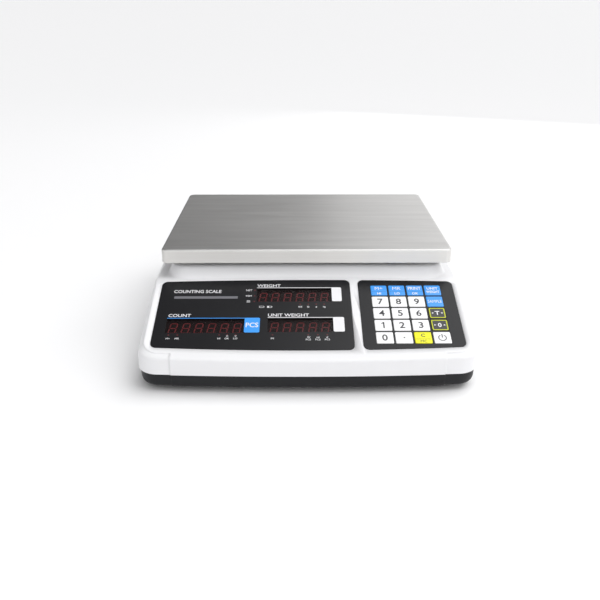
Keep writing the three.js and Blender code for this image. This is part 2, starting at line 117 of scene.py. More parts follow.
def along_console(points):
    """Turns points of the console's own frame, x right, y up the slope, z out of the face, into the row frame."""
    x, s, h = np.moveaxis(np.asarray(points, float), -1, 0)
    y = s * math.cos(SLOPE) - h * math.sin(SLOPE)
    z = s * math.sin(SLOPE) + h * math.cos(SLOPE)
    return np.stack([x, y, z], -1) + CONSOLE_FRONT


def console_box(name):
    """Lowest and highest corner of a CAD node in the console's own frame."""
    mesh = frame["nodes"][name].data
    flat = np.empty(len(mesh.vertices) * 3)
    mesh.vertices.foreach_get("co", flat)
    x, y, z = (flat.reshape(-1, 3) / MM - CONSOLE_FRONT).T
    s = y * math.cos(SLOPE) + z * math.sin(SLOPE)
    h = -y * math.sin(SLOPE) + z * math.cos(SLOPE)
    return np.array([x.min(), s.min(), h.min()]), np.array([x.max(), s.max(), h.max()])


def console_height(x, y):
    """Height of the console's face: one sloping plane up to the riser, level behind it."""
    share = np.clip(np.abs(x) / (BLOCK_HALF - CORNER), 0, 1)
    end = RISER_Y + RISER_BOW * (1 - share**2)
    return CONSOLE_FRONT[2] + math.tan(SLOPE) * (np.minimum(y, end) - CONSOLE_FRONT[1])


# ---- meshes ------------------------------------------------------------------------------------------------


def grid(points, start=True, end=True, ring=False):
    """Faces over a grid whose rows are closed rings, one above the next.

    Each face joins a point, its neighbour in the row and the two above them. start and end close the first and
    last row with one face, and ring joins the last row to the first instead.
    """
    rows, columns = points.shape[:2]
    index = np.arange(rows * columns).reshape(rows, columns)
    if ring:
        index = np.vstack([index, index[:1]])
    low, high = index[:-1], index[1:]
    quads = np.stack([low, np.roll(low, -1, 1), np.roll(high, -1, 1), high], -1)
    faces = quads.reshape(-1, 4).tolist()
    if start and not ring:
        faces.append(index[0][::-1].tolist())
    if end and not ring:
        faces.append(index[-1].tolist())
    return points.reshape(-1, 3), faces


def joined(parts):
    """Several (points, faces) shapes as one."""
    points, faces, count = [], [], 0
    for p, f in parts:
        points.append(np.asarray(p, float).reshape(-1, 3))
        faces.extend([[i + count for i in face] for face in f])
        count += len(points[-1])
    return np.concatenate(points), faces


def mesh_of(name, shape, material=None):
    """A mesh in metres from a (points, faces) shape in millimetres."""
    points, faces = shape
    mesh = bpy.data.meshes.new(name)
    mesh.from_pydata(np.asarray(points, float) * MM, [], faces)
    if material:
        mesh.materials.append(material)
    mesh.validate()
    return mesh


def linked(name, data=None):
    """A new object that holds data, put in the scene."""
    made = bpy.data.objects.new(name, data)
    bpy.context.scene.collection.objects.link(made)
    return made


def shown(name, mesh, body, nodes=(), angle=35):
    """Puts a finished mesh in the scene, smooth except over edges sharper than angle, riding on its body."""
    mesh.name = name
    mesh.shade_smooth()
    mesh.set_sharp_from_angle(angle=math.radians(angle))
    piece = linked(name, mesh)
    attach(piece, body)
    if nodes:
        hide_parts(*nodes)


def evaluated(holder):
    """The mesh that an object's modifiers or curve settings make."""
    bpy.context.view_layer.update()
    depsgraph = bpy.context.evaluated_depsgraph_get()
    made = bpy.data.meshes.new_from_object(holder.evaluated_get(depsgraph), depsgraph=depsgraph)
    bpy.data.objects.remove(holder)
    return made


def worked(mesh, kind, **settings):
    """The mesh after a modifier of that kind."""
    holder = linked("work", mesh)
    modifier = holder.modifiers.new(kind, kind)
    for key, value in settings.items():
        setattr(modifier, key, value)
    return evaluated(holder)


def combined(mesh, *shapes, operation="DIFFERENCE"):
    """The mesh with each (points, faces) shape taken away, or added, one after the other."""
    for shape in shapes:
        tool = linked("tool", mesh_of("tool", shape))
        mesh = worked(mesh, "BOOLEAN", operation=operation, solver="EXACT", object=tool)
        bpy.data.objects.remove(tool)
    return mesh




def evened(mesh, angle=35):
    """The mesh with normals that follow its large faces, so that flat stretches stay flat between rounded edges."""
    mesh.shade_smooth()
    mesh.set_sharp_from_angle(angle=math.radians(angle))
    return worked(mesh, "WEIGHTED_NORMAL", keep_sharp=True, weight=60)


def softened(node, width, segments=2, material=None):
    """A merged copy of a CAD node with its sharp edges rounded."""
    mesh = frame["nodes"][node].data.copy()
    work = bmesh.new()
    work.from_mesh(mesh)
    bmesh.ops.remove_doubles(work, verts=work.verts, dist=2e-6)
    bmesh.ops.dissolve_limit(work, angle_limit=math.radians(1), verts=work.verts, edges=work.edges)
    work.to_mesh(mesh)
    work.free()
    mesh.materials.clear()
    mesh.materials.append(material)
    limit = math.radians(30)
    mesh = worked(mesh, "BEVEL", width=width * MM, segments=segments, limit_method="ANGLE", angle_limit=limit)
    return evened(mesh, 40)


def carried(node, name, body, finish, width, segments=2, angle=40):
    """Shows a softened copy of a CAD node in its finish."""
    shown(name, softened(node, width, segments, material(finish)), body, [node], angle)


def rounded(corners, reach, steps=4):
    """A line through corners with its bends rounded.

    corners is (bends, ..., 2) and reach says how far each round runs along its two sides. A round is the curve
    (1-t)^2 a + 2t(1-t) corner + t^2 b between its two ends a and b.
    """
    rows = [corners[0]]
    t = np.linspace(0, 1, steps + 1).reshape(-1, *([1] * (corners.ndim - 1)))
    for k in range(1, len(corners) - 1):
        before, here, after = corners[k - 1 : k + 2]
        if reach[k] <= 0:
            rows.append(here)
            continue
        ends = []
        for other in (before, after):
            length = np.linalg.norm(other - here, axis=-1, keepdims=True)
            ends.append(here + (other - here) / np.maximum(length, 1e-9) * np.minimum(reach[k], length * 0.48))
        rows.extend((1 - t) ** 2 * ends[0] + 2 * t * (1 - t) * here + t**2 * ends[1])
    rows.append(corners[-1])
    return np.array(rows)


def on_circle(angles):
    """Points of a circle of radius one."""
    return np.stack([np.cos(angles), np.sin(angles)], -1)


def rounded_rectangle(x0, y0, x1, y1, radius, steps=6):
    """Points round a rectangle, anticlockwise, with a quarter circle at each corner."""
    turn = np.linspace(0, math.pi / 2, steps + 1)
    centres = [(x1 - radius, y1 - radius), (x0 + radius, y1 - radius), (x0 + radius, y0 + radius), (x1 - radius, y0 + radius)]
    return np.concatenate([c + radius * on_circle(turn + k * math.pi / 2) for k, c in enumerate(np.array(centres))])


def framed(low, high, room, radius, steps=4):
    """Points round the rectangle between two corners, with that much room on every side."""
    return rounded_rectangle(low[0] - room, low[1] - room, high[0] + room, high[1] + room, radius, steps)


def rectangle_loft(low, high, radius, profile, least=0.4, steps=6):
    """A profile of (inset, height) points carried round a rounded rectangle, its two ends closed."""
    rows = []
    for inset, z in profile:
        ring = framed(low, high, -inset, max(radius - inset, least), steps)
        rows.append(np.column_stack([ring, np.full(len(ring), z)]))
    return grid(np.array(rows))


def turned_profile(centre, profile, sides=48, lobes=0, depth=0.0, ring=False):
    """A profile of (radius, height) points turned round an upright axis; lobes and depth scallop its edge."""
    a = np.linspace(0, 2 * math.pi, sides, endpoint=False)
    r, z = np.array(profile, float).T
    radius = np.outer(r, 1 - depth * (0.5 + 0.5 * np.cos(lobes * a)))
    points = [centre[0] + radius * np.cos(a), centre[1] + radius * np.sin(a), np.outer(z, np.ones(sides))]
    return grid(np.stack(points, -1), ring=ring)


def arc(centre, radius, start, stop, steps=6):
    """(radius, height) points along part of a circle, angles in degrees."""
    return (np.array(centre) + radius * on_circle(np.radians(np.linspace(start, stop, steps + 1)))).tolist()


def circle_at(centre, radius, sides=32):
    """Points round a circle."""
    return np.array(centre) + radius * on_circle(np.linspace(0, 2 * math.pi, sides, endpoint=False))


def prism(outline, low, high):
    """A flat outline given a height, from low to high."""
    outline = np.asarray(outline, float)
    rows = [np.column_stack([outline, np.full(len(outline), z)]) for z in (low, high)]
    return grid(np.array(rows))


def block(x0, y0, z0, x1, y1, z1):
    """A plain box, for cutting with."""
    return prism([(x0, y0), (x1, y0), (x1, y1), (x0, y1)], z0, z1)


def on_console(shape):
    """A shape of the console's own frame, in the row frame."""
    return along_console(shape[0]), shape[1]


# ---- the body's outlines -----------------------------------------------------------------------------------

FRONT_X = np.concatenate([np.linspace(0, 126, 15), [129.5, NOSE_HALF - 0.15, NOSE_HALF + 0.15, 133, 138]])
SIDE_FRONT = np.array([-144, -140, -134, -128, -120, -112, -104, -96.4, -88, -80, -72, -66, RISER_Y])
SIDE_CORNER = np.array([-60.5, -58, -55, -52, -49, -46.4, -43.5, -40.6])
SIDE_BACK = np.array([-32, -24, -15, -6, 1.8, 12, 30, 50, 70, 90, 110, 125, 138])
CORNER_STEPS = 14
BACK_SHARES = np.linspace(1, 0, 12)
TURN_EARLY = 3  # points of the deck's front corners that face the console's side


def mirrored(points, normals, *values):
    """A right half, from the middle of the front to the middle of the back, with its mirror image."""
    flip = np.array([-1, 1])
    whole = [np.concatenate([points, points[-2:0:-1] * flip]), np.concatenate([normals, normals[-2:0:-1] * flip])]
    return whole + [np.concatenate([v, v[-2:0:-1]]) for v in values]


def quarter(centre, start, steps):
    """Points and outward directions along a quarter circle of the corners, without its first point."""
    out = on_circle(np.linspace(start, start + math.pi / 2, steps + 1)[1:])
    return np.array(centre) + CORNER * out, out


def half_outline(front, half_width, first, last, side_y, steps):
    """Right half of an outline with its outward directions: the front, a corner, the side, a corner and the back.

    The front corner starts at y = first and turns in that many steps; the back lies at y = last.
    """
    straight = half_width - CORNER
    low, low_out = quarter((straight, first + CORNER), -math.pi / 2, steps)
    side = np.stack([np.full(len(side_y), half_width), side_y], -1)
    high, high_out = quarter((straight, last - CORNER), 0, CORNER_STEPS)
    back = np.stack([straight * BACK_SHARES[1:], np.full(len(BACK_SHARES) - 1, last)], -1)
    forward, right, backward = (
        np.tile(way, (len(line), 1)) for way, line in (((0.0, -1.0), front), ((1.0, 0.0), side), ((0.0, 1.0), back))
    )
    points = np.concatenate([front, low, side, high, back])
    return points, np.concatenate([forward, low_out, right, high_out, backward])


def body_path():
    """Outline of the cover seen from above, its outward directions, and where the ledge runs.

    The front is the parabola y = front - bow (1 - share^2), its middle one step forward; the corners are quarter
    circles and the sides and the back are straight.
    """
    straight = HALF_WIDTH - CORNER
    x = np.append(FRONT_X, straight)
    front = np.stack([x, FRONT - BOW * (1 - (x / straight) ** 2) - NOSE * (x < NOSE_HALF)], -1)
    side_y = np.concatenate([SIDE_FRONT, SIDE_CORNER, SIDE_BACK, [BACK - CORNER]])
    points, out = half_outline(front, HALF_WIDTH, FRONT, BACK, side_y, CORNER_STEPS)
    ledge = np.ones(len(points), bool)
    ledge[: len(front)] = x > NOSE_HALF
    return mirrored(points, out, ledge)


def block_path():
    """Foot of the raised deck seen from above, with as many points as the body's outline.

    The console's front and sides all meet the straight front of the deck, and the short stretch of side behind the
    console meets its front corners, so no joining line crosses the bend where the console ends.
    """
    straight = BLOCK_HALF - CORNER
    front_x = np.append(FRONT_X, HALF_WIDTH - CORNER) * (straight * 0.8 / (HALF_WIDTH - CORNER))
    more = np.linspace(front_x[-1], straight, CORNER_STEPS + len(SIDE_FRONT) - TURN_EARLY + 1)[1:]
    x = np.concatenate([front_x, more])
    front = np.stack([x, RISER_Y + RISER_BOW * (1 - (x / straight) ** 2)], -1)
    first = RISER_Y + CORNER
    side_y = np.append(SIDE_BACK, BACK - CORNER)
    side_y = first + (side_y - first) * (BLOCK_BACK - CORNER - first) / (BACK - CORNER - first)
    return mirrored(*half_outline(front, BLOCK_HALF, RISER_Y, BLOCK_BACK, side_y, len(SIDE_CORNER) + TURN_EARLY))


def inside(points, out, inset):
    """Points moved in from an outline by inset."""
    return points - out * np.reshape(inset, (-1, 1))


def wrapped(points, out, profile):
    """Rows of points from rows of (inset, height) along an outline."""
    rows = [np.column_stack([inside(points, out, row[:, 0]), row[:, 1]]) for row in profile]
    return np.array(rows)


def panel_edge(x0, x1, grow=0.0, steps=8):
    """Outline of a panel film: a rectangle with rounded corners whose lower and upper edges bulge.

    Each long edge is a parabola, height + bulge (x/150)^2.
    """
    r = PANEL_RADIUS

    def edge_at(x, height, bulge):
        return height + bulge * (x / 150) ** 2

    turn = np.linspace(0, math.pi / 2, steps + 1)
    between = np.linspace(x0 + r, x1 - r, 9)[1:-1]
    points = []
    for k, (cx, edge, side) in enumerate(
        [(x0 + r, PANEL_LOWER, 1), (x1 - r, PANEL_LOWER, 1), (x1 - r, PANEL_UPPER, -1), (x0 + r, PANEL_UPPER, -1)]
    ):
        points.append((cx, edge_at(cx, *edge) + side * r) + (r + grow) * on_circle(turn + math.pi + k * math.pi / 2))
        if k in (0, 2):
            line = between[::side]
            points.append(np.stack([line, edge_at(line, *edge) - side * grow], -1))
    return np.concatenate(points)


def film_span(node):
    """Left and right edge of a panel film."""
    low, high = console_box(node)
    return low[0], high[0]


# ---- flat curves, for films and lettering ------------------------------------------------------------------


def filled(outlines, half_depth, edge=0.0):
    """A flat sheet with holes: closed outlines filled as one curve, given a thickness and a rounded edge."""
    curve = bpy.data.curves.new("sheet", "CURVE")
    curve.dimensions = "2D"
    curve.fill_mode = "BOTH"
    curve.extrude = half_depth - edge
    curve.bevel_depth = edge
    curve.bevel_resolution = 1
    curve.offset = -edge
    for outline in outlines:
        spline = curve.splines.new("POLY")
        spline.points.add(len(outline) - 1)
        flat = np.column_stack([outline, np.zeros(len(outline)), np.ones(len(outline))])
        spline.points.foreach_set("co", flat.ravel())
        spline.use_cyclic_u = True
    return curve_shape(curve)


def curve_shape(curve):
    """A flat curve as a merged (points, faces) shape."""
    mesh = evaluated(linked("curve", curve))
    work = bmesh.new()
    work.from_mesh(mesh)
    bmesh.ops.remove_doubles(work, verts=work.verts, dist=1e-4)
    bmesh.ops.recalc_face_normals(work, faces=work.faces)
    work.to_mesh(mesh)
    work.free()
    flat = np.empty(len(mesh.vertices) * 3)
    mesh.vertices.foreach_get("co", flat)
    faces = [list(p.vertices) for p in mesh.polygons]
    bpy.data.curves.remove(curve)
    bpy.data.meshes.remove(mesh)
    return flat.reshape(-1, 3), faces


def words(text, at, height, level, width=None, bold=0.0, align="CENTER"):
    """Printed words: their left or middle at a point of the console, as tall as height."""
    curve = bpy.data.curves.new("words", "FONT")
    curve.body = text
    curve.size = 10
    curve.extrude = INK / 2
    curve.offset = 0.0 if "M" in text else bold  # the narrow inside of an M closes up when it is made bolder
    curve.resolution_u = 3
    points, faces = curve_shape(curve)
    low, high = points.min(0), points.max(0)
    tall = height / (high[1] - low[1])
    across = width / (high[0] - low[0]) if width else tall
    shift = 0 if align == "LEFT" else (high[0] - low[0]) * across / 2
    x = (points[:, 0] - low[0]) * across - shift + at[0]
    y = (points[:, 1] - low[1]) * tall + at[1] - height / 2
    return np.stack([x, y, points[:, 2] + level], -1), faces


def inked(outline, level):
    """A printed shape with that outline."""
    return prism(outline, level - INK / 2, level + INK / 2)


def stroke(a, b, width, level):
    """A straight printed line from a to b."""
    a, b = np.array(a, float), np.array(b, float)
    along = (b - a) / np.linalg.norm(b - a)
    side = np.array([-along[1], along[0]]) * width / 2
    return inked([a - side, b - side, b + side, a + side], level)


def patch(x0, y0, x1, y1, level, radius=0.0):
    """A printed rectangle."""
    sharp = [(x0, y0), (x1, y0), (x1, y1), (x0, y1)]
    return inked(rounded_rectangle(x0, y0, x1, y1, radius, 4) if radius else sharp, level)


def hoop(centre, radius, width, start, stop, level, steps=24):
    """A printed arc between two angles in degrees."""
    circle = on_circle(np.radians(np.linspace(start, stop, steps + 1)))
    outer = np.array(centre) + circle * (radius + width / 2)
    inner = np.array(centre) + circle[::-1] * (radius - width / 2)
    points, faces = inked(np.concatenate([outer, inner]), level)
    # The two long faces are split into strips, because a bent face isn't a good one.
    n = 2 * (steps + 1)
    faces = faces[:-2]
    for i in range(steps):
        faces.append([i, n - 1 - i, n - 2 - i, i + 1])
        faces.append([n + i, n + i + 1, 2 * n - 2 - i, 2 * n - 1 - i])
    return points, faces


# ---- materials ---------------------------------------------------------------------------------------------


def linear(colour):
    """An sRGB hex colour as linear red, green, blue and alpha."""
    parts = [int(colour[i : i + 2], 16) / 255 for i in (1, 3, 5)]
    return tuple(p / 12.92 if p <= 0.04045 else ((p + 0.055) / 1.055) ** 2.4 for p in parts) + (1.0,)


def darker(colour, share):
    """A colour darkened by a share."""
    return tuple(c * (1 - share) for c in colour[:3]) + (1.0,)


def node(tree, kind, links=None, **settings):
    """Adds a node with its settings; links gives a value or another node's output for each input."""
    made = tree.nodes.new(kind)
    for key, value in settings.items():
        setattr(made, key, value)
    for key, value in (links or {}).items():
        if isinstance(value, bpy.types.NodeSocket):
            tree.links.new(value, made.inputs[key])
        else:
            made.inputs[key].default_value = value
    return made


def new_material(name):
    """An empty node material with its output."""
    made = bpy.data.materials.new(name)
    made.use_nodes = True
    made.node_tree.nodes.clear()
    return made, made.node_tree


def give(tree, shader):
    """Joins a shader to the material's output."""
    node(tree, "ShaderNodeOutputMaterial", {"Surface": shader.outputs[0]})


def per_metre(size):
    """A texture's scale for a pattern of that size in millimetres."""
    return 1 / (size * MM)


def moulded(name, colour, roughness, grain=1.1, depth=0.03, spread=0.06, specular=0.5, tint=0.03):
    """Moulded plastic from a spark-eroded tool: an even colour, a fine grain and a little change in its sheen."""
    made, tree = new_material(name)
    place = node(tree, "ShaderNodeTexCoord").outputs["Object"]
    fine = node(tree, "ShaderNodeTexNoise", {"Vector": place, "Scale": per_metre(grain), "Detail": 3.0})
    broad = node(tree, "ShaderNodeTexNoise", {"Vector": place, "Scale": per_metre(34), "Detail": 2.0})
    sheen = node(
        tree,
        "ShaderNodeMapRange",
        {"Value": broad.outputs["Fac"], "From Min": 0.3, "From Max": 0.7, "To Min": roughness - spread, "To Max": roughness + spread},
    )
    shade = node(
        tree,
        "ShaderNodeMix",
        {0: broad.outputs["Fac"], 6: darker(colour, tint), 7: colour},
        data_type="RGBA",
    )
    relief = node(tree, "ShaderNodeBump", {"Height": fine.outputs["Fac"], "Strength": 0.6, "Distance": depth * MM})
    shader = node(
        tree,
        "ShaderNodeBsdfPrincipled",
        {
            "Base Color": shade.outputs[2],
            "Roughness": sheen.outputs["Result"],
            "Normal": relief.outputs["Normal"],
            "Specular IOR Level": specular,
            "IOR": 1.5,
        },
    )
    give(tree, shader)
    return made


def brushed(name, colour, roughness, line=0.7, length=70, contrast=0.12, turn=0.0, fold_highlight_and_roughness=None):
    """Metal brushed from left to right: fine long lines that change its tone, its sheen and its relief a little.

    turn stretches its highlights across the lines, which run along u of the piece's "brushing" map. Where the sheet is
    folded down, its colour is lifted to the first of the fold values, a painted highlight that makes the skirt lighter
    than the top, and its roughness grows by the second.
    """
    made, tree = new_material(name)
    place = node(tree, "ShaderNodeTexCoord").outputs["Object"]
    stretch = per_metre(length), per_metre(line), per_metre(line)
    lines = node(tree, "ShaderNodeMapping", {"Vector": place, "Scale": stretch})
    fine = node(tree, "ShaderNodeTexNoise", {"Vector": lines.outputs["Vector"], "Scale": 1.0, "Detail": 4.0})
    wide = per_metre(length * 1.6), per_metre(line * 14), per_metre(line * 14)
    bands = node(tree, "ShaderNodeMapping", {"Vector": place, "Scale": wide})
    broad = node(tree, "ShaderNodeTexNoise", {"Vector": bands.outputs["Vector"], "Scale": 1.0, "Detail": 2.0})
    both = node(tree, "ShaderNodeMath", {0: fine.outputs["Fac"], 1: broad.outputs["Fac"]}, operation="ADD")
    shade = node(
        tree,
        "ShaderNodeMapRange",
        {"Value": both.outputs["Value"], "From Min": 0.75, "From Max": 1.25, "To Min": 0.0, "To Max": 1.0},
    )
    tone = node(tree, "ShaderNodeMix", {0: shade.outputs["Result"], 6: darker(colour, contrast), 7: colour}, data_type="RGBA")
    sheen = node(
        tree,
        "ShaderNodeMapRange",
        {"Value": fine.outputs["Fac"], "From Min": 0.3, "From Max": 0.7, "To Min": roughness - 0.05, "To Max": roughness + 0.07},
    )
    base, rough = tone.outputs[2], sheen.outputs["Result"]
    if fold_highlight_and_roughness:
        # Downturned faces get a lighter colour, a painted highlight, and a rougher finish.
        up = node(tree, "ShaderNodeTexCoord").outputs["Normal"]
        up = node(tree, "ShaderNodeSeparateXYZ", {"Vector": up}).outputs["Z"]
        down = node(tree, "ShaderNodeMapRange", {"Value": up, "From Min": 0.8, "From Max": 0.3}).outputs["Result"]
        base = node(tree, "ShaderNodeMix", {0: down, 6: base, 7: fold_highlight_and_roughness[0]}, data_type="RGBA").outputs[2]
        rough = node(tree, "ShaderNodeMath", {0: down, 1: fold_highlight_and_roughness[1], 2: rough}, operation="MULTIPLY_ADD").outputs["Value"]
    relief = node(tree, "ShaderNodeBump", {"Height": fine.outputs["Fac"], "Strength": 0.5, "Distance": 0.012 * MM})
    shader = node(
        tree,
        "ShaderNodeBsdfPrincipled",
        {
            "Base Color": base,
            "Metallic": 1.0,
            "Roughness": rough,
            "Normal": relief.outputs["Normal"],
            "Anisotropic": turn,
            "Anisotropic Rotation": 0.25,
        },
    )
    if turn:
        across = node(tree, "ShaderNodeTangent", direction_type="UV_MAP", uv_map="brushing")
        tree.links.new(across.outputs["Tangent"], shader.inputs["Tangent"])
    give(tree, shader)
    return made


def brushing_map(mesh):
    """Gives a mesh a map whose u runs with the brush lines: along X on the top, front and back, along Y at the sides."""
    layer = mesh.uv_layers.new(name="brushing")
    corners = np.empty(len(mesh.loops), np.int32)
    mesh.loops.foreach_get("vertex_index", corners)
    points = np.empty(len(mesh.vertices) * 3)
    mesh.vertices.foreach_get("co", points)
    x, y, z = points.reshape(-1, 3)[corners].T
    facing = np.empty(len(mesh.polygons) * 3)
    mesh.polygons.foreach_get("normal", facing)
    count = np.empty(len(mesh.polygons), np.int32)
    mesh.polygons.foreach_get("loop_total", count)
    side, front, up = np.abs(np.repeat(facing.reshape(-1, 3), count, 0)).T
    sideways = (side > front) & (side > up)
    flat = np.stack([np.where(sideways, y, x), np.where(sideways, z, y + z)], -1)
    layer.data.foreach_set("uv", flat.ravel())


def clear_filter(name, colour, roughness, alpha):
    """Tinted clear acrylic, polished: what lies behind shows through it faintly."""
    made, tree = new_material(name)
    place = node(tree, "ShaderNodeTexCoord").outputs["Object"]
    haze = node(tree, "ShaderNodeTexNoise", {"Vector": place, "Scale": per_metre(9), "Detail": 2.0})
    sheen = node(
        tree,
        "ShaderNodeMapRange",
        {"Value": haze.outputs["Fac"], "To Min": roughness * 0.7, "To Max": roughness * 1.3},
    )
    shader = node(
        tree,
        "ShaderNodeBsdfPrincipled",
        {"Base Color": colour, "Roughness": sheen.outputs["Result"], "Alpha": alpha, "IOR": 1.49, "Specular IOR Level": 0.35},
    )
    give(tree, shader)
    return made


def cast(name, colour, roughness, grain):
    """Bare or plated metal with a fine even grain: a mottled tone and small pits."""
    made, tree = new_material(name)
    place = node(tree, "ShaderNodeTexCoord").outputs["Object"]
    fine = node(tree, "ShaderNodeTexNoise", {"Vector": place, "Scale": per_metre(grain), "Detail": 4.0})
    tone = node(tree, "ShaderNodeMix", {0: fine.outputs["Fac"], 6: darker(colour, 0.18), 7: colour}, data_type="RGBA")
    relief = node(tree, "ShaderNodeBump", {"Height": fine.outputs["Fac"], "Strength": 0.5, "Distance": 0.04 * MM})
    sheen = node(
        tree,
        "ShaderNodeMapRange",
        {"Value": fine.outputs["Fac"], "To Min": roughness - 0.06, "To Max": roughness + 0.1},
    )
    shader = node(
        tree,
        "ShaderNodeBsdfPrincipled",
        {
            "Base Color": tone.outputs[2],
            "Metallic": 1.0,
            "Roughness": sheen.outputs["Result"],
            "Normal": relief.outputs["Normal"],
        },
    )
    give(tree, shader)
    return made


MATERIALS = {}
PRINT = {"grain": 0.5, "depth": 0.004}  # a printed surface, in millimetres
# How each material is made: maker, colour (a hex value or one of the user's), roughness, other settings.
RECIPES = {
    # ABS moulded in a spark-eroded tool: a satin white that stays soft in the light.
    "white_moulded_abs": (moulded, "cover", 0.4, {"tint": 0.015}),
    # The same in black: darker, so its sheen shows more.
    "black_moulded_abs": (moulded, "base", 0.44, {"grain": 1.3, "tint": 0.12, "specular": 0.28}),
    # Screen-printed polyester film with a fine satin texture.
    "printed_polyester_film": (
        moulded,
        "film",
        0.3,
        {"grain": 0.7, "depth": 0.004, "tint": 0.05, "specular": 0.3, "spread": 0.015},
    ),
    # Screen inks, a few hundredths of a millimetre thick, a little duller than the film.
    "white_screen_ink": (moulded, "#EDEDF0", 0.45, PRINT),
    "grey_screen_ink": (moulded, "#6E6E74", 0.45, PRINT),
    "blue_screen_ink": (moulded, "blue", 0.4, PRINT),
    "dark_screen_ink": (moulded, "#3A3A3E", 0.45, PRINT),
    "black_screen_ink": (moulded, "#0D0D0E", 0.6, {"grain": 0.5, "depth": 0.002}),
    "lime_screen_ink": (moulded, "#C3C91E", 0.45, PRINT),
    "blue_line_ink": (moulded, "#2A6FB5", 0.45, PRINT),
    # Key faces are printed film over an embossed dome: satin, with a gentle unevenness.
    "white_key_film": (moulded, "#F6F6F7", 0.36, {"grain": 5, "depth": 0.12, "tint": 0.01}),
    "blue_key_film": (moulded, "blue", 0.3, {"grain": 4, "depth": 0.25, "tint": 0.06}),
    "yellow_key_film": (moulded, "#F3F005", 0.36, {"grain": 5, "depth": 0.12, "tint": 0.02}),
    "black_key_film": (moulded, "#232327", 0.25, {"grain": 4, "depth": 0.3, "tint": 0.1}),
    # Stainless sheet finished on a belt: long fine lines from left to right. Its folded skirt is rougher and is painted
    # lighter than the top, a painted highlight.
    "belt_brushed_stainless": (brushed, "steel", 0.42, {"turn": 0.6, "fold_highlight_and_roughness": (linear("#F4F3F1"), 0.35)}),
    # Red acrylic over the LED modules.
    "polished_red_acrylic": (clear_filter, "#231A1B", 0.24, {"alpha": 0.32}),
    # The modules' potting compound: black epoxy.
    "potted_led_module": (moulded, "#181011", 0.5, {"grain": 2.4, "depth": 0.004, "specular": 0.15}),
    # Unlit segments are tinted epoxy, dull red.
    "unlit_red_segment": (moulded, "#B03A40", 0.5, {"grain": 0.8, "depth": 0.01}),
    # Small lamps' lenses: dark red acrylic.
    "indicator_lamp": (moulded, "#5A1A1E", 0.4, PRINT),
    # A blank rating label: silvered polyester with a satin face.
    "silver_polyester_label": (cast, "#C2C4C7", 0.42, {"grain": 0.8}),
    # The floor: matt white card.
    "matt_white_card": (moulded, "#FBFBFC", 0.8, {"grain": 3, "depth": 0.01, "tint": 0.005, "specular": 0.2}),
    # Silicone rubber, moulded and matt.
    "moulded_rubber": (moulded, "#1C1C1D", 0.75, {"grain": 0.9, "depth": 0.05, "specular": 0.3}),
    # Nylon of the foot wheels and connectors.
    "moulded_black_nylon": (moulded, "#222225", 0.5, {"grain": 0.8}),
    # Aluminium die casting, bead blasted: an even grey with a fine pitted skin.
    "blasted_die_cast_aluminium": (cast, "#A9ABAF", 0.46, {"grain": 1.0}),
    # The load cell: bar stock, milled and anodised.
    "milled_anodised_aluminium": (brushed, "#C3C6CA", 0.34, {"line": 0.9, "length": 30, "contrast": 0.08}),
    # Bright zinc plating on screws, studs and connector shells.
    "zinc_plated_steel": (cast, "#B9BBC0", 0.3, {"grain": 1.6}),
    # Glass epoxy board under green solder mask.
    "solder_mask_board": (moulded, "#1F6A42", 0.35, {"grain": 2.0, "depth": 0.02, "tint": 0.2}),
    # The sealed lead battery's ABS case.
    "battery_case_abs": (moulded, "#4B4D52", 0.5, {"grain": 1.4, "depth": 0.05}),
    # The level's vial, and the fluid in it.
    "clear_level_acrylic": (clear_filter, "#DDE8D0", 0.04, {"alpha": 0.3}),
    "level_fluid": (moulded, "#B4D435", 0.12, {"grain": 3, "depth": 0.005, "tint": 0.05}),
}


def material(name):
    """The material of that name, made the first time it is asked for."""
    if name not in MATERIALS:
        maker, colour, roughness, settings = RECIPES[name]
        given = colour.startswith("#")
        colour = linear(colour) if given else tuple(getattr(bpy.context.scene.scale_colours, colour)) + (1.0,)
        MATERIALS[name] = maker(name, colour, roughness, **settings)
    return MATERIALS[name]


# ---- what a user would change ------------------------------------------------------------------------------


def length(name, description, millimetres):
    """A length property, given in millimetres and kept in metres."""
    return FloatProperty(name=name, description=description, default=millimetres * MM, min=0.0, unit="LENGTH", precision=4)


def colour(name, description, value):
    """A colour property from an sRGB hex value."""
    return FloatVectorProperty(
        name=name, description=description, default=linear(value)[:3], subtype="COLOR", size=3, min=0.0, max=1.0
    )


class ScaleSizes(PropertyGroup):
    """Rounds and small heights of the mouldings."""

    ridge_round: length("Ridge round", "How far the round along the cover's upper outer edge reaches", 2.4)
    riser_round: length("Riser round", "How far the round at the top of the raised deck's sides reaches", 3.2)
    riser_foot_round: length("Riser foot round", "How far the hollow round at the foot of the deck's sides reaches", 3.6)
    base_round: length("Base round", "How far the round along the base's lower edge reaches", 6.5)
    rim_round: length("Rim round", "Radius of the platter's upper edge", 2.2)
    hem: length("Hem", "Height of the folded hem at the platter's lower edge", 2.2)
    key_height: length("Key height", "How far a key stands out of the console's face", 0.7)
    digit_height: length("Digit height", "Height of an LED digit", 14.2)
    digit_pitch: length("Digit pitch", "Distance from one LED digit to the next", 12.7)
    digit_slant: FloatProperty(
        name="Digit slant", description="How far the digits lean", default=math.radians(8), subtype="ANGLE"
    )


class ScaleColours(PropertyGroup):
    """Colours of the mouldings, the films and the platter."""

    cover: colour("Cover", "White plastic of the cover", "#ECECEE")
    base: colour("Base", "Black plastic of the base", "#17181B")
    film: colour("Panel film", "Printed film of the console", "#18181B")
    blue: colour("Blue", "Blue keys and the blue count mark", "#3A9CF5")
    steel: colour("Steel", "Brushed stainless steel", "#CFCECD")


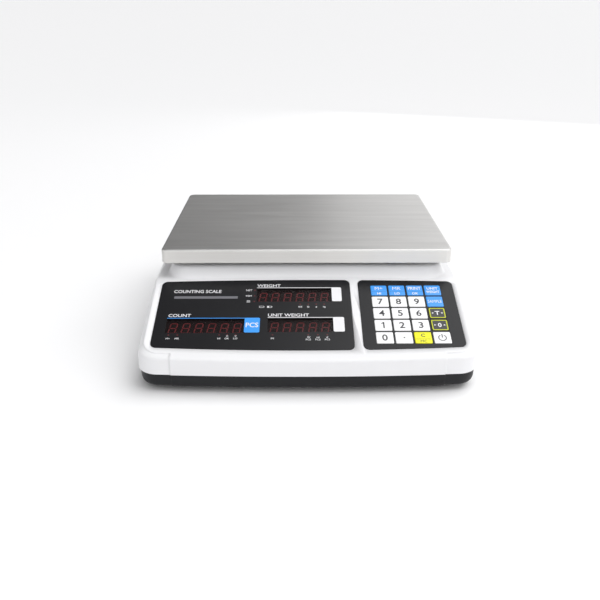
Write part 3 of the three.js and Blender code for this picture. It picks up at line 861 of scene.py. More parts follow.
class ScaleStage(PropertyGroup):
    """Camera and lights."""

    distance: length("Distance", "How far the camera stands in front of the middle of the scale", 748)
    height: length("Height", "Camera height over the table", 351.5)
    aside: length("Aside", "How far the camera stands to the left", 10.5)
    pitch: FloatProperty(name="Pitch", description="Tilt down", default=math.radians(23.69), subtype="ANGLE")
    yaw: FloatProperty(name="Yaw", description="Turn to the right", default=math.radians(0.289), subtype="ANGLE")
    lens: FloatProperty(name="Lens", description="Focal length", default=41.7, subtype="DISTANCE_CAMERA")
    day: FloatProperty(name="Overhead", description="Strength of the broad light from above", default=1.45)
    steel_light: FloatProperty(name="Steel light", description="Power of the light behind on the right", default=2.3)
    side_light: FloatProperty(name="Side light", description="Power of the light at the front right", default=0.8)
    fill_light: FloatProperty(name="Fill light", description="Power of the light in front", default=3.4)
    sky: FloatProperty(name="Surround", description="Brightness of the pale surround", default=0.74)
    dark_patch: FloatProperty(name="Dark patch", description="Brightness of the surround's dark patch", default=0.15)
    floor_reach: IntProperty(name="Floor", description="Half width of the floor in metres", default=80)


def sizes():
    """The user's sizes, in millimetres."""
    group = bpy.context.scene.scale_sizes
    return {key: getattr(group, key) / MM for key in ScaleSizes.__annotations__ if key != "digit_slant"}


# ---- cover and base ----------------------------------------------------------------------------------------


def cover_shape():
    """The cover as rows round one closed loop: up the outer wall, over the shoulder, the ledge and its step, across
    the console, up the raised deck, in to the collar round the platter's support, and back along the inside."""
    size = sizes()
    edge, out, ledge = body_path()
    foot, foot_out = block_path()

    def face(inset, points=edge, away=out):
        x, y = inside(points, away, inset).T
        return console_height(x, y)

    def level(inset, z):
        inset, z = np.broadcast_arrays(inset, z)
        return np.stack(np.broadcast_arrays(inset, z, np.zeros(len(edge)))[:2], -1)

    shoulder = np.interp(edge[:, 1], *SHOULDER.T)
    brow = np.where(ledge, shoulder, face(0.5))
    step = np.where(ledge, LEDGE_DROP, 0.01)
    top = LEDGE + 0.5
    wall = rounded(
        np.array(
            [
                level(WALL, SEAM),
                level(0.0, SEAM),
                level(0.5, brow),
                level(LEDGE, face(LEDGE) - step),
                level(top, face(top)),
                level(top + 0.7, face(top + 0.7)),
            ]
        ),
        [0, 0.7, size["ridge_round"], 0.3, 0.6, 0],
    )
    facing = foot_out[:, 1]
    start = -5 + 4.4 * np.clip(facing, 0, 1)
    lean = 5.2 + 1.1 * np.clip(-facing, 0, 1)
    riser = rounded(
        np.array(
            [
                level(start, face(start, foot, foot_out)),
                level(0.0, face(0.0, foot, foot_out)),
                level(lean, DECK),
                level(lean + 9, DECK),
            ]
        ),
        [0, size["riser_foot_round"], size["riser_round"], 0],
        steps=6,
    )
    deck = inside(foot, foot_out, lean + 9) - (0, PAN_CENTRE)
    circle = on_circle(np.arctan2(deck[:, 1], deck[:, 0]))
    collar = rounded(
        np.array(
            [
                [DECK_HOLE + 7, DECK],
                [DECK_HOLE + 2.5, DECK],
                [DECK_HOLE + 2.4, DECK + 3],
                [DECK_HOLE, DECK + 3],
                [DECK_HOLE, DECK - WALL],
                [DECK_HOLE + 7, DECK - WALL],
            ]
        ),
        [0, 1.5, 0.8, 0.8, 0, 0],
    )
    around = np.array([np.column_stack([circle * r + (0, PAN_CENTRE), np.full(len(circle), z)]) for r, z in collar])
    under = wrapped(
        foot, foot_out, np.array([level(lean + 9, DECK - WALL), level(3.5, face(3.5, foot, foot_out) - 4.3)])
    )
    back = wrapped(
        edge, out, np.array([level(LEDGE + 3.4, face(LEDGE + 3.4) - 5.5), level(WALL + 0.6, brow - 3.8)])
    )
    outer, raised = wrapped(edge, out, wall), wrapped(foot, foot_out, riser)
    # One row follows the bend where the console ends, so that no face runs across it.
    from_y, to_y = outer[-1, :, 1], raised[0, :, 1]
    crossing = (from_y > RISER_Y - 0.01) & (to_y < RISER_Y) & (from_y < 0)
    share = np.where(crossing, (from_y - RISER_Y) / np.maximum(from_y - to_y, 0.01), 0.5)
    share = np.clip(share, 0.02, 0.98)[:, None]
    between = outer[-1] * (1 - share) + raised[0] * share
    between[:, 2] = console_height(between[:, 0], between[:, 1])
    return grid(np.concatenate([outer, between[None], raised, around, under, back]), ring=True)


def around_node(node, room):
    """Outline of a console node's rectangle with that much room round it."""
    (x0, y0, _), (x1, y1, _) = console_box(node)
    return [(x0 - room, y0 - room), (x1 + room, y0 - room), (x1 + room, y1 + room), (x0 - room, y1 + room)]


def console_cut(outline, depth):
    """A shape that cuts the console's face to a depth."""
    return on_console(prism(outline, -depth, 4))




def pegs(nodes, radius, low, high):
    """Round pegs over the middles of these nodes."""
    return [prism(circle_at(middle(n), radius), low, high) for n in nodes]


def port_cut(node, room=0.6):
    """A box through the rear wall round a connector."""
    low, high = node_box(node)
    return block(low[0] - room, BACK - 12, low[2] - room, high[0] + room, BACK + 5, high[2] + room)


class OBJECT_OT_scale_cover(Operator):
    """Add the white cover"""

    bl_idname = "object.scale_cover"
    bl_label = "Cover"

    def execute(self, context):
        recesses = [console_cut(panel_edge(*film_span(n), 0.3), FILM) for n in ("display_overlay", "keypad_overlay")]
        pockets = [console_cut(around_node(n, 0.4), 3.0) for n in ("display_filter", "keypad_board")]
        windows = [console_cut(around_node(n, 0.5), 12.0) for n in WINDOWS]
        ports = [port_cut(n) for n in PORTS]
        mesh = mesh_of("cover", cover_shape(), material("white_moulded_abs"))
        mesh = combined(mesh, joined(recesses), joined(pockets + ports), joined(windows))
        shown("cover_moulding", evened(mesh, 28), "housing", ["upper_housing"], 28)
        return {"FINISHED"}






FEET = ["front_left", "front_right", "rear_left", "rear_right"]
THREAD_PITCH = 1.5
PIN_PITCH = 2.77  # of a nine-pin serial connector
FOOT_SCREWS = [f"foot_screw_{foot}" for foot in FEET]
SCREWS = [f"housing_screw_{i}" for i in (1, 2, 3, 4)]
FLOOR_TOP = 8.6
PORTS = ["serial_port", "dc_jack"]
LABEL = (66, -120, 116, -50)  # recess for a label on the underside
GROOVES = (-66, 7, 9)  # first, end and pitch of the grooves beside it


class OBJECT_OT_scale_base(Operator):
    """Add the black base, with its foot sockets, screw posts and battery bay"""

    bl_idname = "object.scale_base"
    bl_label = "Base"

    def execute(self, context):
        edge, out, _ = body_path()
        under, shelf = BASE_LOW[2], SEAM - 0.6
        lip = shelf + 7.1
        line = [(12, under), (BASE_INSET + 0.7, under), (BASE_INSET, shelf), (WALL + 0.8, shelf)]
        line += [(WALL + 0.8, lip), (5.6, lip), (5.6, FLOOR_TOP), (12, FLOOR_TOP)]
        profile = rounded(np.array(line), [0, sizes()["base_round"], 0.5, 0, 0.4, 0.4, 2.5, 0], steps=7)
        profile = np.repeat(profile[:, None, :], len(edge), 1)
        mesh = mesh_of("base", grid(wrapped(edge, out, profile)), material("black_moulded_abs"))
        (x0, y0, _), (x1, y1, _) = node_box("battery")
        walls = block(x0 - 2.6, y0 - 3.6, FLOOR_TOP - 1, x1 + 2.6, y1 + 3.6, 30)
        posts = pegs(FOOT_SCREWS, 8, FLOOR_TOP - 1, 24) + pegs(SCREWS, 6.5, FLOOR_TOP - 1, shelf + 2)
        mesh = combined(mesh, joined(posts + [walls]), operation="UNION")
        bay = block(x0 - 0.8, y0 - 1.8, 8, x1 + 0.8, y1 + 1.8, 31)
        (x0, y0, _), (x1, y1, _) = node_box("battery_door")
        doorway = block(x0 - 0.5, y0 - 0.5, 0, x1 + 1.2, y1 + 0.5, 9.1)
        wide = [bay] + pegs(FOOT_SCREWS, 4.6, 0, 30) + pegs(SCREWS, 4.4, 0, 12)
        narrow = [doorway] + pegs(SCREWS, 2.2, 0, 30)
        marks = [prism(rounded_rectangle(*LABEL, 3, 5), under - 1, under + 0.5)]
        for side in (-1, 1):
            for y in range(*GROOVES):
                x0, x1 = side * 34 - 22, side * 34 + 22
                marks.append(prism(rounded_rectangle(x0, y - 1.2, x1, y + 1.2, 1.1, 4), under - 1, under + 0.7))
        mesh = combined(mesh, joined(wide), joined(narrow), joined([port_cut(n) for n in PORTS]), joined(marks))
        label = prism(framed(LABEL[:2], LABEL[2:], -0.6, 2.4, 5), under + 0.32, under + 0.48)
        blank = mesh_of("blank_label", label, material("silver_polyester_label"))
        shown("blank_label", blank, "housing", angle=30)
        shown("base_moulding", evened(mesh, 30), "housing", ["lower_housing"], 30)
        return {"FINISHED"}


class OBJECT_OT_scale_battery(Operator):
    """Add the battery and the door under it"""

    bl_idname = "object.scale_battery"
    bl_label = "Battery and door"

    def execute(self, context):
        black = "black_moulded_abs"
        carried("battery_door", "battery_door_moulding", "battery_door", black, 0.4)
        carried("battery", "battery_case", "housing", "battery_case_abs", 1.2, 3)
        return {"FINISHED"}


# ---- weighing parts ----------------------------------------------------------------------------------------


class OBJECT_OT_scale_platter(Operator):
    """Add the brushed steel platter"""

    bl_idname = "object.scale_platter"
    bl_label = "Platter"

    def execute(self, context):
        size = sizes()
        bottom, top = PLATTER_LOW[2], PLATTER_HIGH[2]
        sheet, step = 1.0, 0.25  # thickness of the sheet, and how far the hem stands out of the skirt
        hem, round_off = bottom + size["hem"], size["rim_round"]
        wall = step + sheet
        profile = [(step + round_off + 1, top - sheet)]
        profile += [(wall + 1.2 * (1 - math.sin(t)), top - sheet - 1.2 * (1 - math.cos(t))) for t in (0.2, 0.8, 1.57)]
        profile += [(wall, hem + 0.4), (wall + 0.5, hem), (wall + 0.5, bottom + 0.4)]
        profile += [(1.4, bottom + 0.1), (0.9, bottom), (0.4, bottom + 0.08), (0.08, bottom + 0.4), (0, bottom + 0.8)]
        profile += [(0, hem - 0.2), (0.06, hem + 0.15), (step, hem + 0.45)]
        for t in np.linspace(0, math.pi / 2, 9):
            profile.append((step + round_off * (1 - math.cos(t)), top - round_off * (1 - math.sin(t))))
        shape = rectangle_loft(PLATTER_LOW, PLATTER_HIGH, 7.0, profile, steps=10)
        mesh = evened(mesh_of("platter", shape, material("belt_brushed_stainless")), 40)
        brushing_map(mesh)
        shown("platter_sheet", mesh, "platter", ["platter"], 50)
        return {"FINISHED"}


class OBJECT_OT_scale_weighing(Operator):
    """Add the load cell, its base plate and bolts, the platter's support and its cushions"""

    bl_idname = "object.scale_weighing"
    bl_label = "Weighing parts"

    def execute(self, context):
        cast_arms, zinc = "blasted_die_cast_aluminium", "zinc_plated_steel"
        carried("pan_support", "pan_support_casting", "weigh_deck", cast_arms, 0.9, 3, 50)
        carried("load_cell", "load_cell_beam", "housing", "milled_anodised_aluminium", 0.5)
        carried("base_plate", "base_plate_steel", "housing", zinc, 0.4)
        for end, body in (("base", "housing"), ("top", "weigh_deck")):
            for name in (f"cell_bolt_{end}_1", f"cell_bolt_{end}_2"):
                carried(name, f"{name}_steel", body, zinc, 0.35)
        for name in [f"pan_cushion_{i}" for i in (1, 2, 3, 4)]:
            low, high = node_box(name)
            profile = [(5, low[2]), (6.6, low[2]), (7.2, low[2] + 0.5)] + arc((6.4, high[2] - 1.4), 1.4, 0, 90)
            profile += [(3.0, high[2]), (2.4, high[2] - 0.8)]
            mesh = mesh_of(name, turned_profile(middle(name), profile), material("moulded_rubber"))
            shown(f"{name}_rubber", mesh, "weigh_deck", [name], 40)
        return {"FINISHED"}


class OBJECT_OT_scale_level(Operator):
    """Add the bubble level on the deck"""

    bl_idname = "object.scale_level"
    bl_label = "Bubble level"

    def execute(self, context):
        low, high = node_box("bubble_level")
        z, top = low[2], high[2]
        ring = [(8.2, z + 1.0), (8.2, z + 0.1), (10.8, z + 0.1), (11, z + 0.4), (11, z + 1.3), (10.6, z + 1.7)]
        ring += [(9.2, z + 1.7), (9.0, z + 2.2), (9.0, top - 0.7), (8.8, top - 0.4), (8.2, top - 0.4), (8.2, z + 1.2)]
        fluid = [(6, z + 1.3), (8, z + 1.3), (8, top - 1.6), (6, top - 1.5)]
        cap = [(7.0, top - 1.4), (8.1, top - 1.4), (8.1, top - 0.3), (7.8, top), (6, top)]
        for name, profile, finish, slot, nodes in (
            ("level_ring", ring, "moulded_black_nylon", "jack_plastic", ["bubble_level"]),
            ("level_fluid", fluid, "level_fluid", "level_vial", []),
            ("level_cap", cap, "clear_level_acrylic", "level_vial", []),
        ):
            shape = turned_profile(middle("bubble_level"), profile, 64, ring=name == "level_ring")
            shown(name, mesh_of(name, shape, material(finish)), "housing", nodes, 40)
        return {"FINISHED"}


# ---- console -----------------------------------------------------------------------------------------------


class OBJECT_OT_scale_films(Operator):
    """Add the two printed films and the red filter behind the windows"""

    bl_idname = "object.scale_films"
    bl_label = "Panel films"

    def execute(self, context):
        windows = [framed(*console_box(n), 0.5, 0.8, 3)[::-1] for n in WINDOWS]
        pads = [framed(*console_box(n), 0.3, 1.5)[::-1] for n in KEY_PADS]
        for name, holes in (("display_overlay", windows), ("keypad_overlay", pads)):
            shape = filled([panel_edge(*film_span(name))] + holes, FILM / 2, 0.06)
            mesh = mesh_of(name, on_console(shape), material("printed_polyester_film"))
            shown(f"{name}_film", evened(mesh, 60), "housing", [name], 60)
        low, high = console_box("display_filter")
        profile = [(0.2, low[2]), (0, low[2] + 0.2), (0, high[2] - 0.2), (0.2, high[2])]
        pane = on_console(rectangle_loft(low, high, 2.0, profile))
        mesh = mesh_of("filter", pane, material("polished_red_acrylic"))
        shown("red_filter_pane", mesh, "housing", ["display_filter"], 40)
        holes = [framed(*console_box(n), 0.2, 0.6, 3)[::-1] for n in WINDOWS]
        points, faces = filled([framed(low, high, -0.3, 1.8)] + holes, 0.02)
        mask = on_console((points + (0, 0, low[2] - 0.05), faces))
        shown("filter_mask", mesh_of("mask", mask, material("black_screen_ink")), "housing", angle=40)
        return {"FINISHED"}


def digit(left, bottom, width, height, lean, level, thick=1.25, gap=0.22):
    """An unlit seven-segment digit: seven bars with pointed ends, all leaning, with a point after them."""
    half = thick / 2
    right, top, waist = width - thick, height - half, height / 2
    bars = [((half, y), (right, y)) for y in (half, waist, top)]
    bars += [((x, low), (x, high)) for x in (half, right) for low, high in ((half, waist), (waist, top))]
    outlines = [(width + 0.6, 0.75) + 0.75 * on_circle(np.linspace(0, 5.8, 13))]
    for a, b in np.array(bars):
        way = (b - a) / np.linalg.norm(b - a)
        side = np.array([-way[1], way[0]])
        a, b = a + gap * way, b - gap * way
        near, far = half * (way - side), half * (way + side)
        outlines.append(np.array([a, a + near, b - far, b, b - near, a + far]))
    slanted = [line + np.outer(line[:, 1], (math.tan(lean), 0)) + (left, bottom) for line in outlines]
    return [prism(line, level, level + 0.06) for line in slanted]


class OBJECT_OT_scale_displays(Operator):
    """Add the three LED modules, their digits unlit"""

    bl_idname = "object.scale_displays"
    bl_label = "LED modules"

    def execute(self, context):
        size = sizes()
        tall, pitch, width = size["digit_height"], size["digit_pitch"], 8.4
        lean = context.scene.scale_sizes.digit_slant
        for name, count in (("display_weight", 6), ("display_unit_weight", 5), ("display_count", 6)):
            low, high = console_box(name)
            face, rim = high[2], high[2] + 0.5
            profile = [(0.3, low[2]), (0, low[2] + 0.3), (0, face), (-0.4, face), (-0.4, rim), (0.6, rim), (0.6, face)]
            body = mesh_of(name, on_console(rectangle_loft(low, high, 1.0, profile)), material("potted_led_module"))
            shown(f"{name}_module", body, "housing", [name], 40)
            span = (count - 1) * pitch + width + math.tan(lean) * tall
            left, bottom = (low[0] + high[0] - span) / 2, (low[1] + high[1] - tall) / 2
            shapes = [s for i in range(count) for s in digit(left + i * pitch, bottom, width, tall, lean, face + 0.01)]
            digits = mesh_of(name, on_console(joined(shapes)), material("unlit_red_segment"))
            shown(f"{name}_segments", digits, "housing", angle=20)
        return {"FINISHED"}


LEVEL = FILM / 2 + 0.03  # height of the print on the films, over the console's face


SMALL_MARKS = (  # text, x, distance up the console, height
    ("NET", -60, 83.2, 2.4),
    ("oz", -7.0, 58.1, 2.0),
    ("lb", 1.2, 58.1, 2.4),
    ("g", 9.3, 57.8, 2.2),
    ("kg", 17.4, 57.9, 2.7),
    ("M+", -135.5, 13.8, 2.2),
    ("MR", -126.7, 13.8, 2.2),
    ("HI", -86.1, 13.8, 2.2),
    ("OK", -78.3, 13.8, 2.2),
    ("LO", -70.1, 13.8, 2.2),
    ("IN", -34.2, 13.8, 2.2),
    ("lb/", 1.2, 15.6, 2.2),
    ("oz/", 10.2, 15.4, 2.0),
    ("g/", 19.1, 15.3, 2.4),
    ("PCS", 0.6, 12.2, 2.2),
    ("PCS", 9.9, 12.2, 2.2),
    ("PCS", 19.1, 12.2, 2.2),
)


def heading(text, x, y, width, height=4.4, bold=0.1):
    """A white heading, from its left end."""
    return words(text, (x, y), height, LEVEL, width, bold, "LEFT")


def white_print():
    """White lettering and lines of the display film."""
    w_low, w_high = console_box("display_weight")
    u_low, u_high = console_box("display_unit_weight")
    c_low, c_high = console_box("display_count")
    shapes = [
        heading("WEIGHT", w_low[0] - 0.3, w_high[1] + 5.2, 24.5),
        stroke((w_low[0] - 0.5, w_high[1] + 1.9), (w_high[0] + 3, w_high[1] + 1.9), 0.75, LEVEL),
        patch(w_high[0] + 0.8, w_low[1] - 0.2, w_high[0] + 10.9, w_high[1] + 2.3, LEVEL + 0.04, 1.4),
        heading("UNIT WEIGHT", u_low[0] - 0.3, u_high[1] + 5.4, 41.0),
        stroke((u_low[0] - 0.5, u_high[1] + 2.0), (u_high[0] + 3, u_high[1] + 2.0), 0.75, LEVEL),
        patch(u_high[0] + 0.8, u_low[1] - 0.2, u_high[0] + 11.8, u_high[1] + 2.4, LEVEL + 0.04, 1.4),
        heading("COUNT", c_low[0] + 0.4, c_high[1] + 5.4, 22.4),
        heading("COUNTING SCALE", c_low[0] + 1.6, 81.4, 49, 4.6, 0.12),
    ]
    shapes += [words(text, (x, s), height, LEVEL, bold=0.05) for text, x, s, height in SMALL_MARKS]
    # Stable and zero marks left of the weight window, battery marks under it.
    for side in (-1, 1):
        tip = [(-60 + side * 1.2, 74.6), (-60 + side * 2.9, 75.5), (-60 + side * 2.9, 73.7)]
        shapes.append(inked(tip[::side], LEVEL))
    shapes.append(hoop((-60, 74.6), 1.0, 0.45, 0, 360, LEVEL))
    shapes += [stroke((-61.8, s), (-58.2, s), 0.4, LEVEL) for s in (67.5, 66.3, 65.1)]
    for x, charge in ((-46.2, 0.3), (-38.2, 1.9)):
        shapes.append(patch(x - 2.4, 57.1, x - 2.4 + charge, 59.1, LEVEL))
        shapes += [stroke((x - 2.4, s), (x + 2.2, s), 0.35, LEVEL) for s in (57.0, 59.2)]
        shapes.append(stroke((x + 2.2, 57.0), (x + 2.2, 59.2), 0.35, LEVEL))
        shapes.append(patch(x + 2.4, 57.7, x + 2.9, 58.5, LEVEL))
    shapes += [inked([(x - 1.4, 17.4), (x, 16.4), (x + 1.4, 17.4)], LEVEL) for x in (-78.3, -70.1)]
    return joined(shapes)


def lamps():
    """The small red indicator lamps under the film, one beside or above each mark."""
    places = [(-54.0, s) for s in (83.2, 74.6, 66.3)]
    places += [(x, 62.0) for x in (-7.0, 1.2, 9.3, 17.4)]
    places += [(x, 18.6) for x in (-135.5, -126.7, -86.1, -78.3, -70.1, -34.2, 0.6, 9.9, 19.1)]
    return joined([inked(circle_at(at, 0.85, 20), LEVEL) for at in places])


class OBJECT_OT_scale_printing(Operator):
    """Add the printing on the display film"""

    bl_idname = "object.scale_printing"
    bl_label = "Film printing"

    def execute(self, context):
        low, high = console_box("display_count")
        top = high[1] + 2.0
        blue = [
            stroke((low[0] - 0.5, top - 0.4), (high[0] + 2, top - 0.4), 0.75, LEVEL),
            patch(high[0] + 0.4, low[1] - 0.2, high[0] + 15.6, top, LEVEL + 0.04, 1.4),
        ]
        strip = [stroke((low[0] + 2.8, 72.3), (low[0] + 68, 72.3), 3.6, LEVEL)]
        mark = words("PCS", (high[0] + 8.0, (low[1] + top) / 2), 6.4, LEVEL + 0.08, 12.4, bold=0.12)
        for name, shape, ink in (
            ("white_printing", joined([white_print(), mark]), "white_screen_ink"),
            ("blue_printing", joined(blue), "blue_screen_ink"),
            ("grey_printing", joined(strip), "grey_screen_ink"),
            ("indicator_lamps", lamps(), "indicator_lamp"),
        ):
            shown(name, mesh_of(name, on_console(shape), material(ink)), "housing", angle=20)
        return {"FINISHED"}


# Film of the keys that aren't white.
KEY_FILMS = {key: "blue_key_film" for key in ("sample", "memory_add", "memory_recall", "print", "unit_weight")}
KEY_FILMS |= {"clear": "yellow_key_film", "zero": "black_key_film", "tare": "black_key_film"}

# Keys with one mark over another, a line between them.
SPLIT_KEYS = {
    "memory_add": ("M+", "HI", "white_screen_ink"),
    "memory_recall": ("MR", "LO", "white_screen_ink"),
    "print": ("PRINT", "OK", "white_screen_ink"),
    "clear": ("C", "MC", "dark_screen_ink"),
}


def arrow(x, y, way, level):
    """A small solid arrowhead whose tip points along way."""
    return inked([(x + way * 1.0, y), (x - way * 0.9, y + 1.1), (x - way * 0.9, y - 1.1)][::way], level)


def legend(key, centre, half, level):
    """Printing of one key, as (shape, ink) pairs."""
    x, y = centre
    if key == "1":
        bar = stroke((x + 0.5, y - 4.2), (x + 0.5, y + 4.2), 1.35, level)
        flag = stroke((x - 1.7, y + 2.1), (x + 0.75, y + 3.85), 1.15, level - 0.01)
        return [(joined([bar, flag]), "dark_screen_ink")]
    if key.isdigit():
        return [(words(key, (x, y), 8.4, level, bold=0.18), "dark_screen_ink")]
    if key == "decimal":
        return [(inked(circle_at((x + 0.3, y), 0.8, 20), level), "dark_screen_ink")]
    if key == "power":
        ring = hoop((x, y - 0.4), 3.7, 0.9, 118, 422, level)
        return [(joined([ring, stroke((x, y - 0.2), (x, y + 4.6), 0.9, level)]), "dark_screen_ink")]
    if key in SPLIT_KEYS:
        upper, lower, ink = SPLIT_KEYS[key]
        marks = [
            words(upper, (x, y + 2.9), 4.4, level, 13.4 if len(upper) > 2 else None, bold=0.2),
            stroke((x - half[0] + 0.8, y - 2.0), (x + half[0] - 0.8, y - 2.0), 0.3, level),
            words(lower, (x, y - 4.9), 3.2, level, bold=0.2),
        ]
        if key == "clear":
            return [(joined(marks), ink)]
        return [(joined(marks[::2]), ink), (marks[1], "blue_line_ink")]
    if key in ("zero", "tare"):
        mark = words("0" if key == "zero" else "T", (x, y), 5.6, level, bold=0.25)
        arrows = [arrow(x - 4.4, y, 1, level), arrow(x + 4.4, y, -1, level)]
        outer, inner = (framed(centre - half, centre + half, -gap, radius) for gap, radius in ((0.15, 1.3), (1.3, 0.8)))
        rows = inked(np.concatenate([outer, inner]), level)[0].reshape(4, -1, 3)[[0, 1, 3, 2]]
        return [(joined([mark] + arrows), "white_screen_ink"), (grid(rows, ring=True), "lime_screen_ink")]
    if key == "sample":
        return [(words("SAMPLE", (x, y), 4.0, level, 14.2, bold=0.2), "white_screen_ink")]
    lines = [words(line, (x, y + up), 3.6, level, wide, 0.2) for line, up, wide in (("UNIT", 2.6, None), ("WEIGHT", -2.6, 13.6))]
    return [(joined(lines), "white_screen_ink")]


def printed_mesh(name, parts):
    """One mesh of several shapes, each in its own material."""
    mesh = mesh_of(name, joined([shape for shape, _ in parts]))
    slots = list(dict.fromkeys(which for _, which in parts))
    for which in slots:
        mesh.materials.append(material(which))
    index = np.concatenate([np.full(len(shape[1]), slots.index(which)) for shape, which in parts])
    mesh.polygons.foreach_set("material_index", index.astype(np.int32))
    return mesh


class OBJECT_OT_scale_keys(Operator):
    """Add the twenty keys with their legends"""

    bl_idname = "object.scale_keys"
    bl_label = "Keys"

    def execute(self, context):
        top = sizes()["key_height"] - 0.05
        for name in KEY_PADS:
            key = name.removeprefix("key_")
            low, high = console_box(name)
            face = KEY_FILMS.get(key, "white_key_film")
            profile = [(0.9, low[2]), (0, low[2]), (0, top - 0.42), (0.06, top - 0.24), (0.2, top - 0.09), (0.42, top)]
            profile += [(1.2, top + 0.02), (3.5, top + 0.02)]
            pad = rectangle_loft(low, high, 1.3, profile, least=0.5)
            centre, half = (low[:2] + high[:2]) / 2, (high[:2] - low[:2]) / 2 - 0.3
            parts = [(pad, face)] + legend(key, centre, half, top + 0.04)
            mesh = printed_mesh(name, [(on_console(shape), which) for shape, which in parts])
            shown(f"{name}_pad", mesh, f"{name}_body", [name], 30)
        return {"FINISHED"}


# ---- underside, rear and inside ----------------------------------------------------------------------------


class OBJECT_OT_scale_feet(Operator):
    """Add the four levelling feet"""

    bl_idname = "object.scale_feet"
    bl_label = "Levelling feet"

    def execute(self, context):
        for foot in FEET:
            name = f"foot_sole_{foot}"
            low, high = node_box(name)
            r, top = (high[0] - low[0]) / 2, high[2]
            profile = [(r - 4, 0.5), (r - 3.4, 0), (r - 1.0, 0), (r - 0.3, 0.2), (r, 0.7), (r, top - 0.2), (r - 0.2, top)]
            mesh = mesh_of(name, turned_profile(middle(name), profile), material("moulded_rubber"))
            shown(f"{name}_rubber", mesh, f"foot_{foot}_sole", [name], 40)
            name = f"foot_screw_{foot}"
            low, high = node_box(name)
            r, under, over = (high[0] - low[0]) / 2 - 0.05, low[2], low[2] + 3.4
            disc = [(8, under), (r - 1.2, under), (r - 0.3, under + 0.25), (r, under + 0.9), (r, over - 0.9)]
            disc += [(r - 0.3, over - 0.25), (r - 1.2, over), (7, over)]
            wheel = turned_profile(middle(name), disc, 96, lobes=24, depth=0.035)
            thread = [(3.2, over - 0.3)]
            for z in np.arange(over + 0.6, high[2] - 1.2, THREAD_PITCH):
                thread += [(3.3, z), (3.85, z + 0.45), (3.85, z + 0.6), (3.3, z + 1.05)]
            thread += [(3.3, high[2] - 0.6), (2.7, high[2])]
            stud = turned_profile(middle(name), thread, 32)
            mesh = printed_mesh(name, [(wheel, "moulded_black_nylon"), (stud, "zinc_plated_steel")])
            shown(f"{name}_wheel", mesh, f"foot_{foot}_screw", [name], 40)
        return {"FINISHED"}


class OBJECT_OT_scale_screws(Operator):
    """Add the four housing screws, each with its cross recess"""

    bl_idname = "object.scale_screws"
    bl_label = "Housing screws"

    def execute(self, context):
        for name in SCREWS:
            low, high = node_box(name)
            r, foot, top = (high[0] - low[0]) / 2, low[2], low[2] + 2.5
            profile = [(r - 1.6, foot), (r - 0.9, foot + 0.15), (r - 0.2, foot + 0.8), (r, foot + 1.3), (r, top)]
            profile += [(1.5, top), (1.5, high[2] - 2), (0.3, high[2])]
            x, y = middle(name)
            mesh = mesh_of(name, turned_profile((x, y), profile, 40), material("zinc_plated_steel"))
            arms = [block(x - a, y - b, 0, x + a, y + b, foot + 1.5) for a, b in ((2, 0.45), (0.45, 2))]
            shown(f"{name}_steel", evened(combined(mesh, *arms), 35), "housing", [name], 35)
        return {"FINISHED"}


def facing_back(shape, y):
    """A shape drawn flat, x right and y up, its thickness turned to point out of the rear wall."""
    points, faces = shape
    x, up, out = np.asarray(points, float).T
    return np.stack([x, y + out, up], -1), [f[::-1] for f in faces]


def rear_piece(name, shape, y, finish, slot, cuts=(), nodes=(), angle=35):
    """Shows a shape that points out of the rear wall, with others cut out of it."""
    mesh = mesh_of(name, facing_back(shape, y), material(finish))
    if cuts:
        mesh = evened(combined(mesh, *[facing_back(cut, y) for cut in cuts]), angle)
    shown(name, mesh, "housing", nodes, angle)


def d_outline(centre, half, height, lean, radius=1.4, steps=5):
    """Outline of a D shaped plug: a rounded four-cornered shape whose ends lean in."""
    corners = [(0, height), (-half, height), (lean - half, -height), (half - lean, -height), (half, height), (0, height)]
    return rounded(np.array(corners), [0, radius, radius, radius, radius, 0], steps)[:-1] + centre


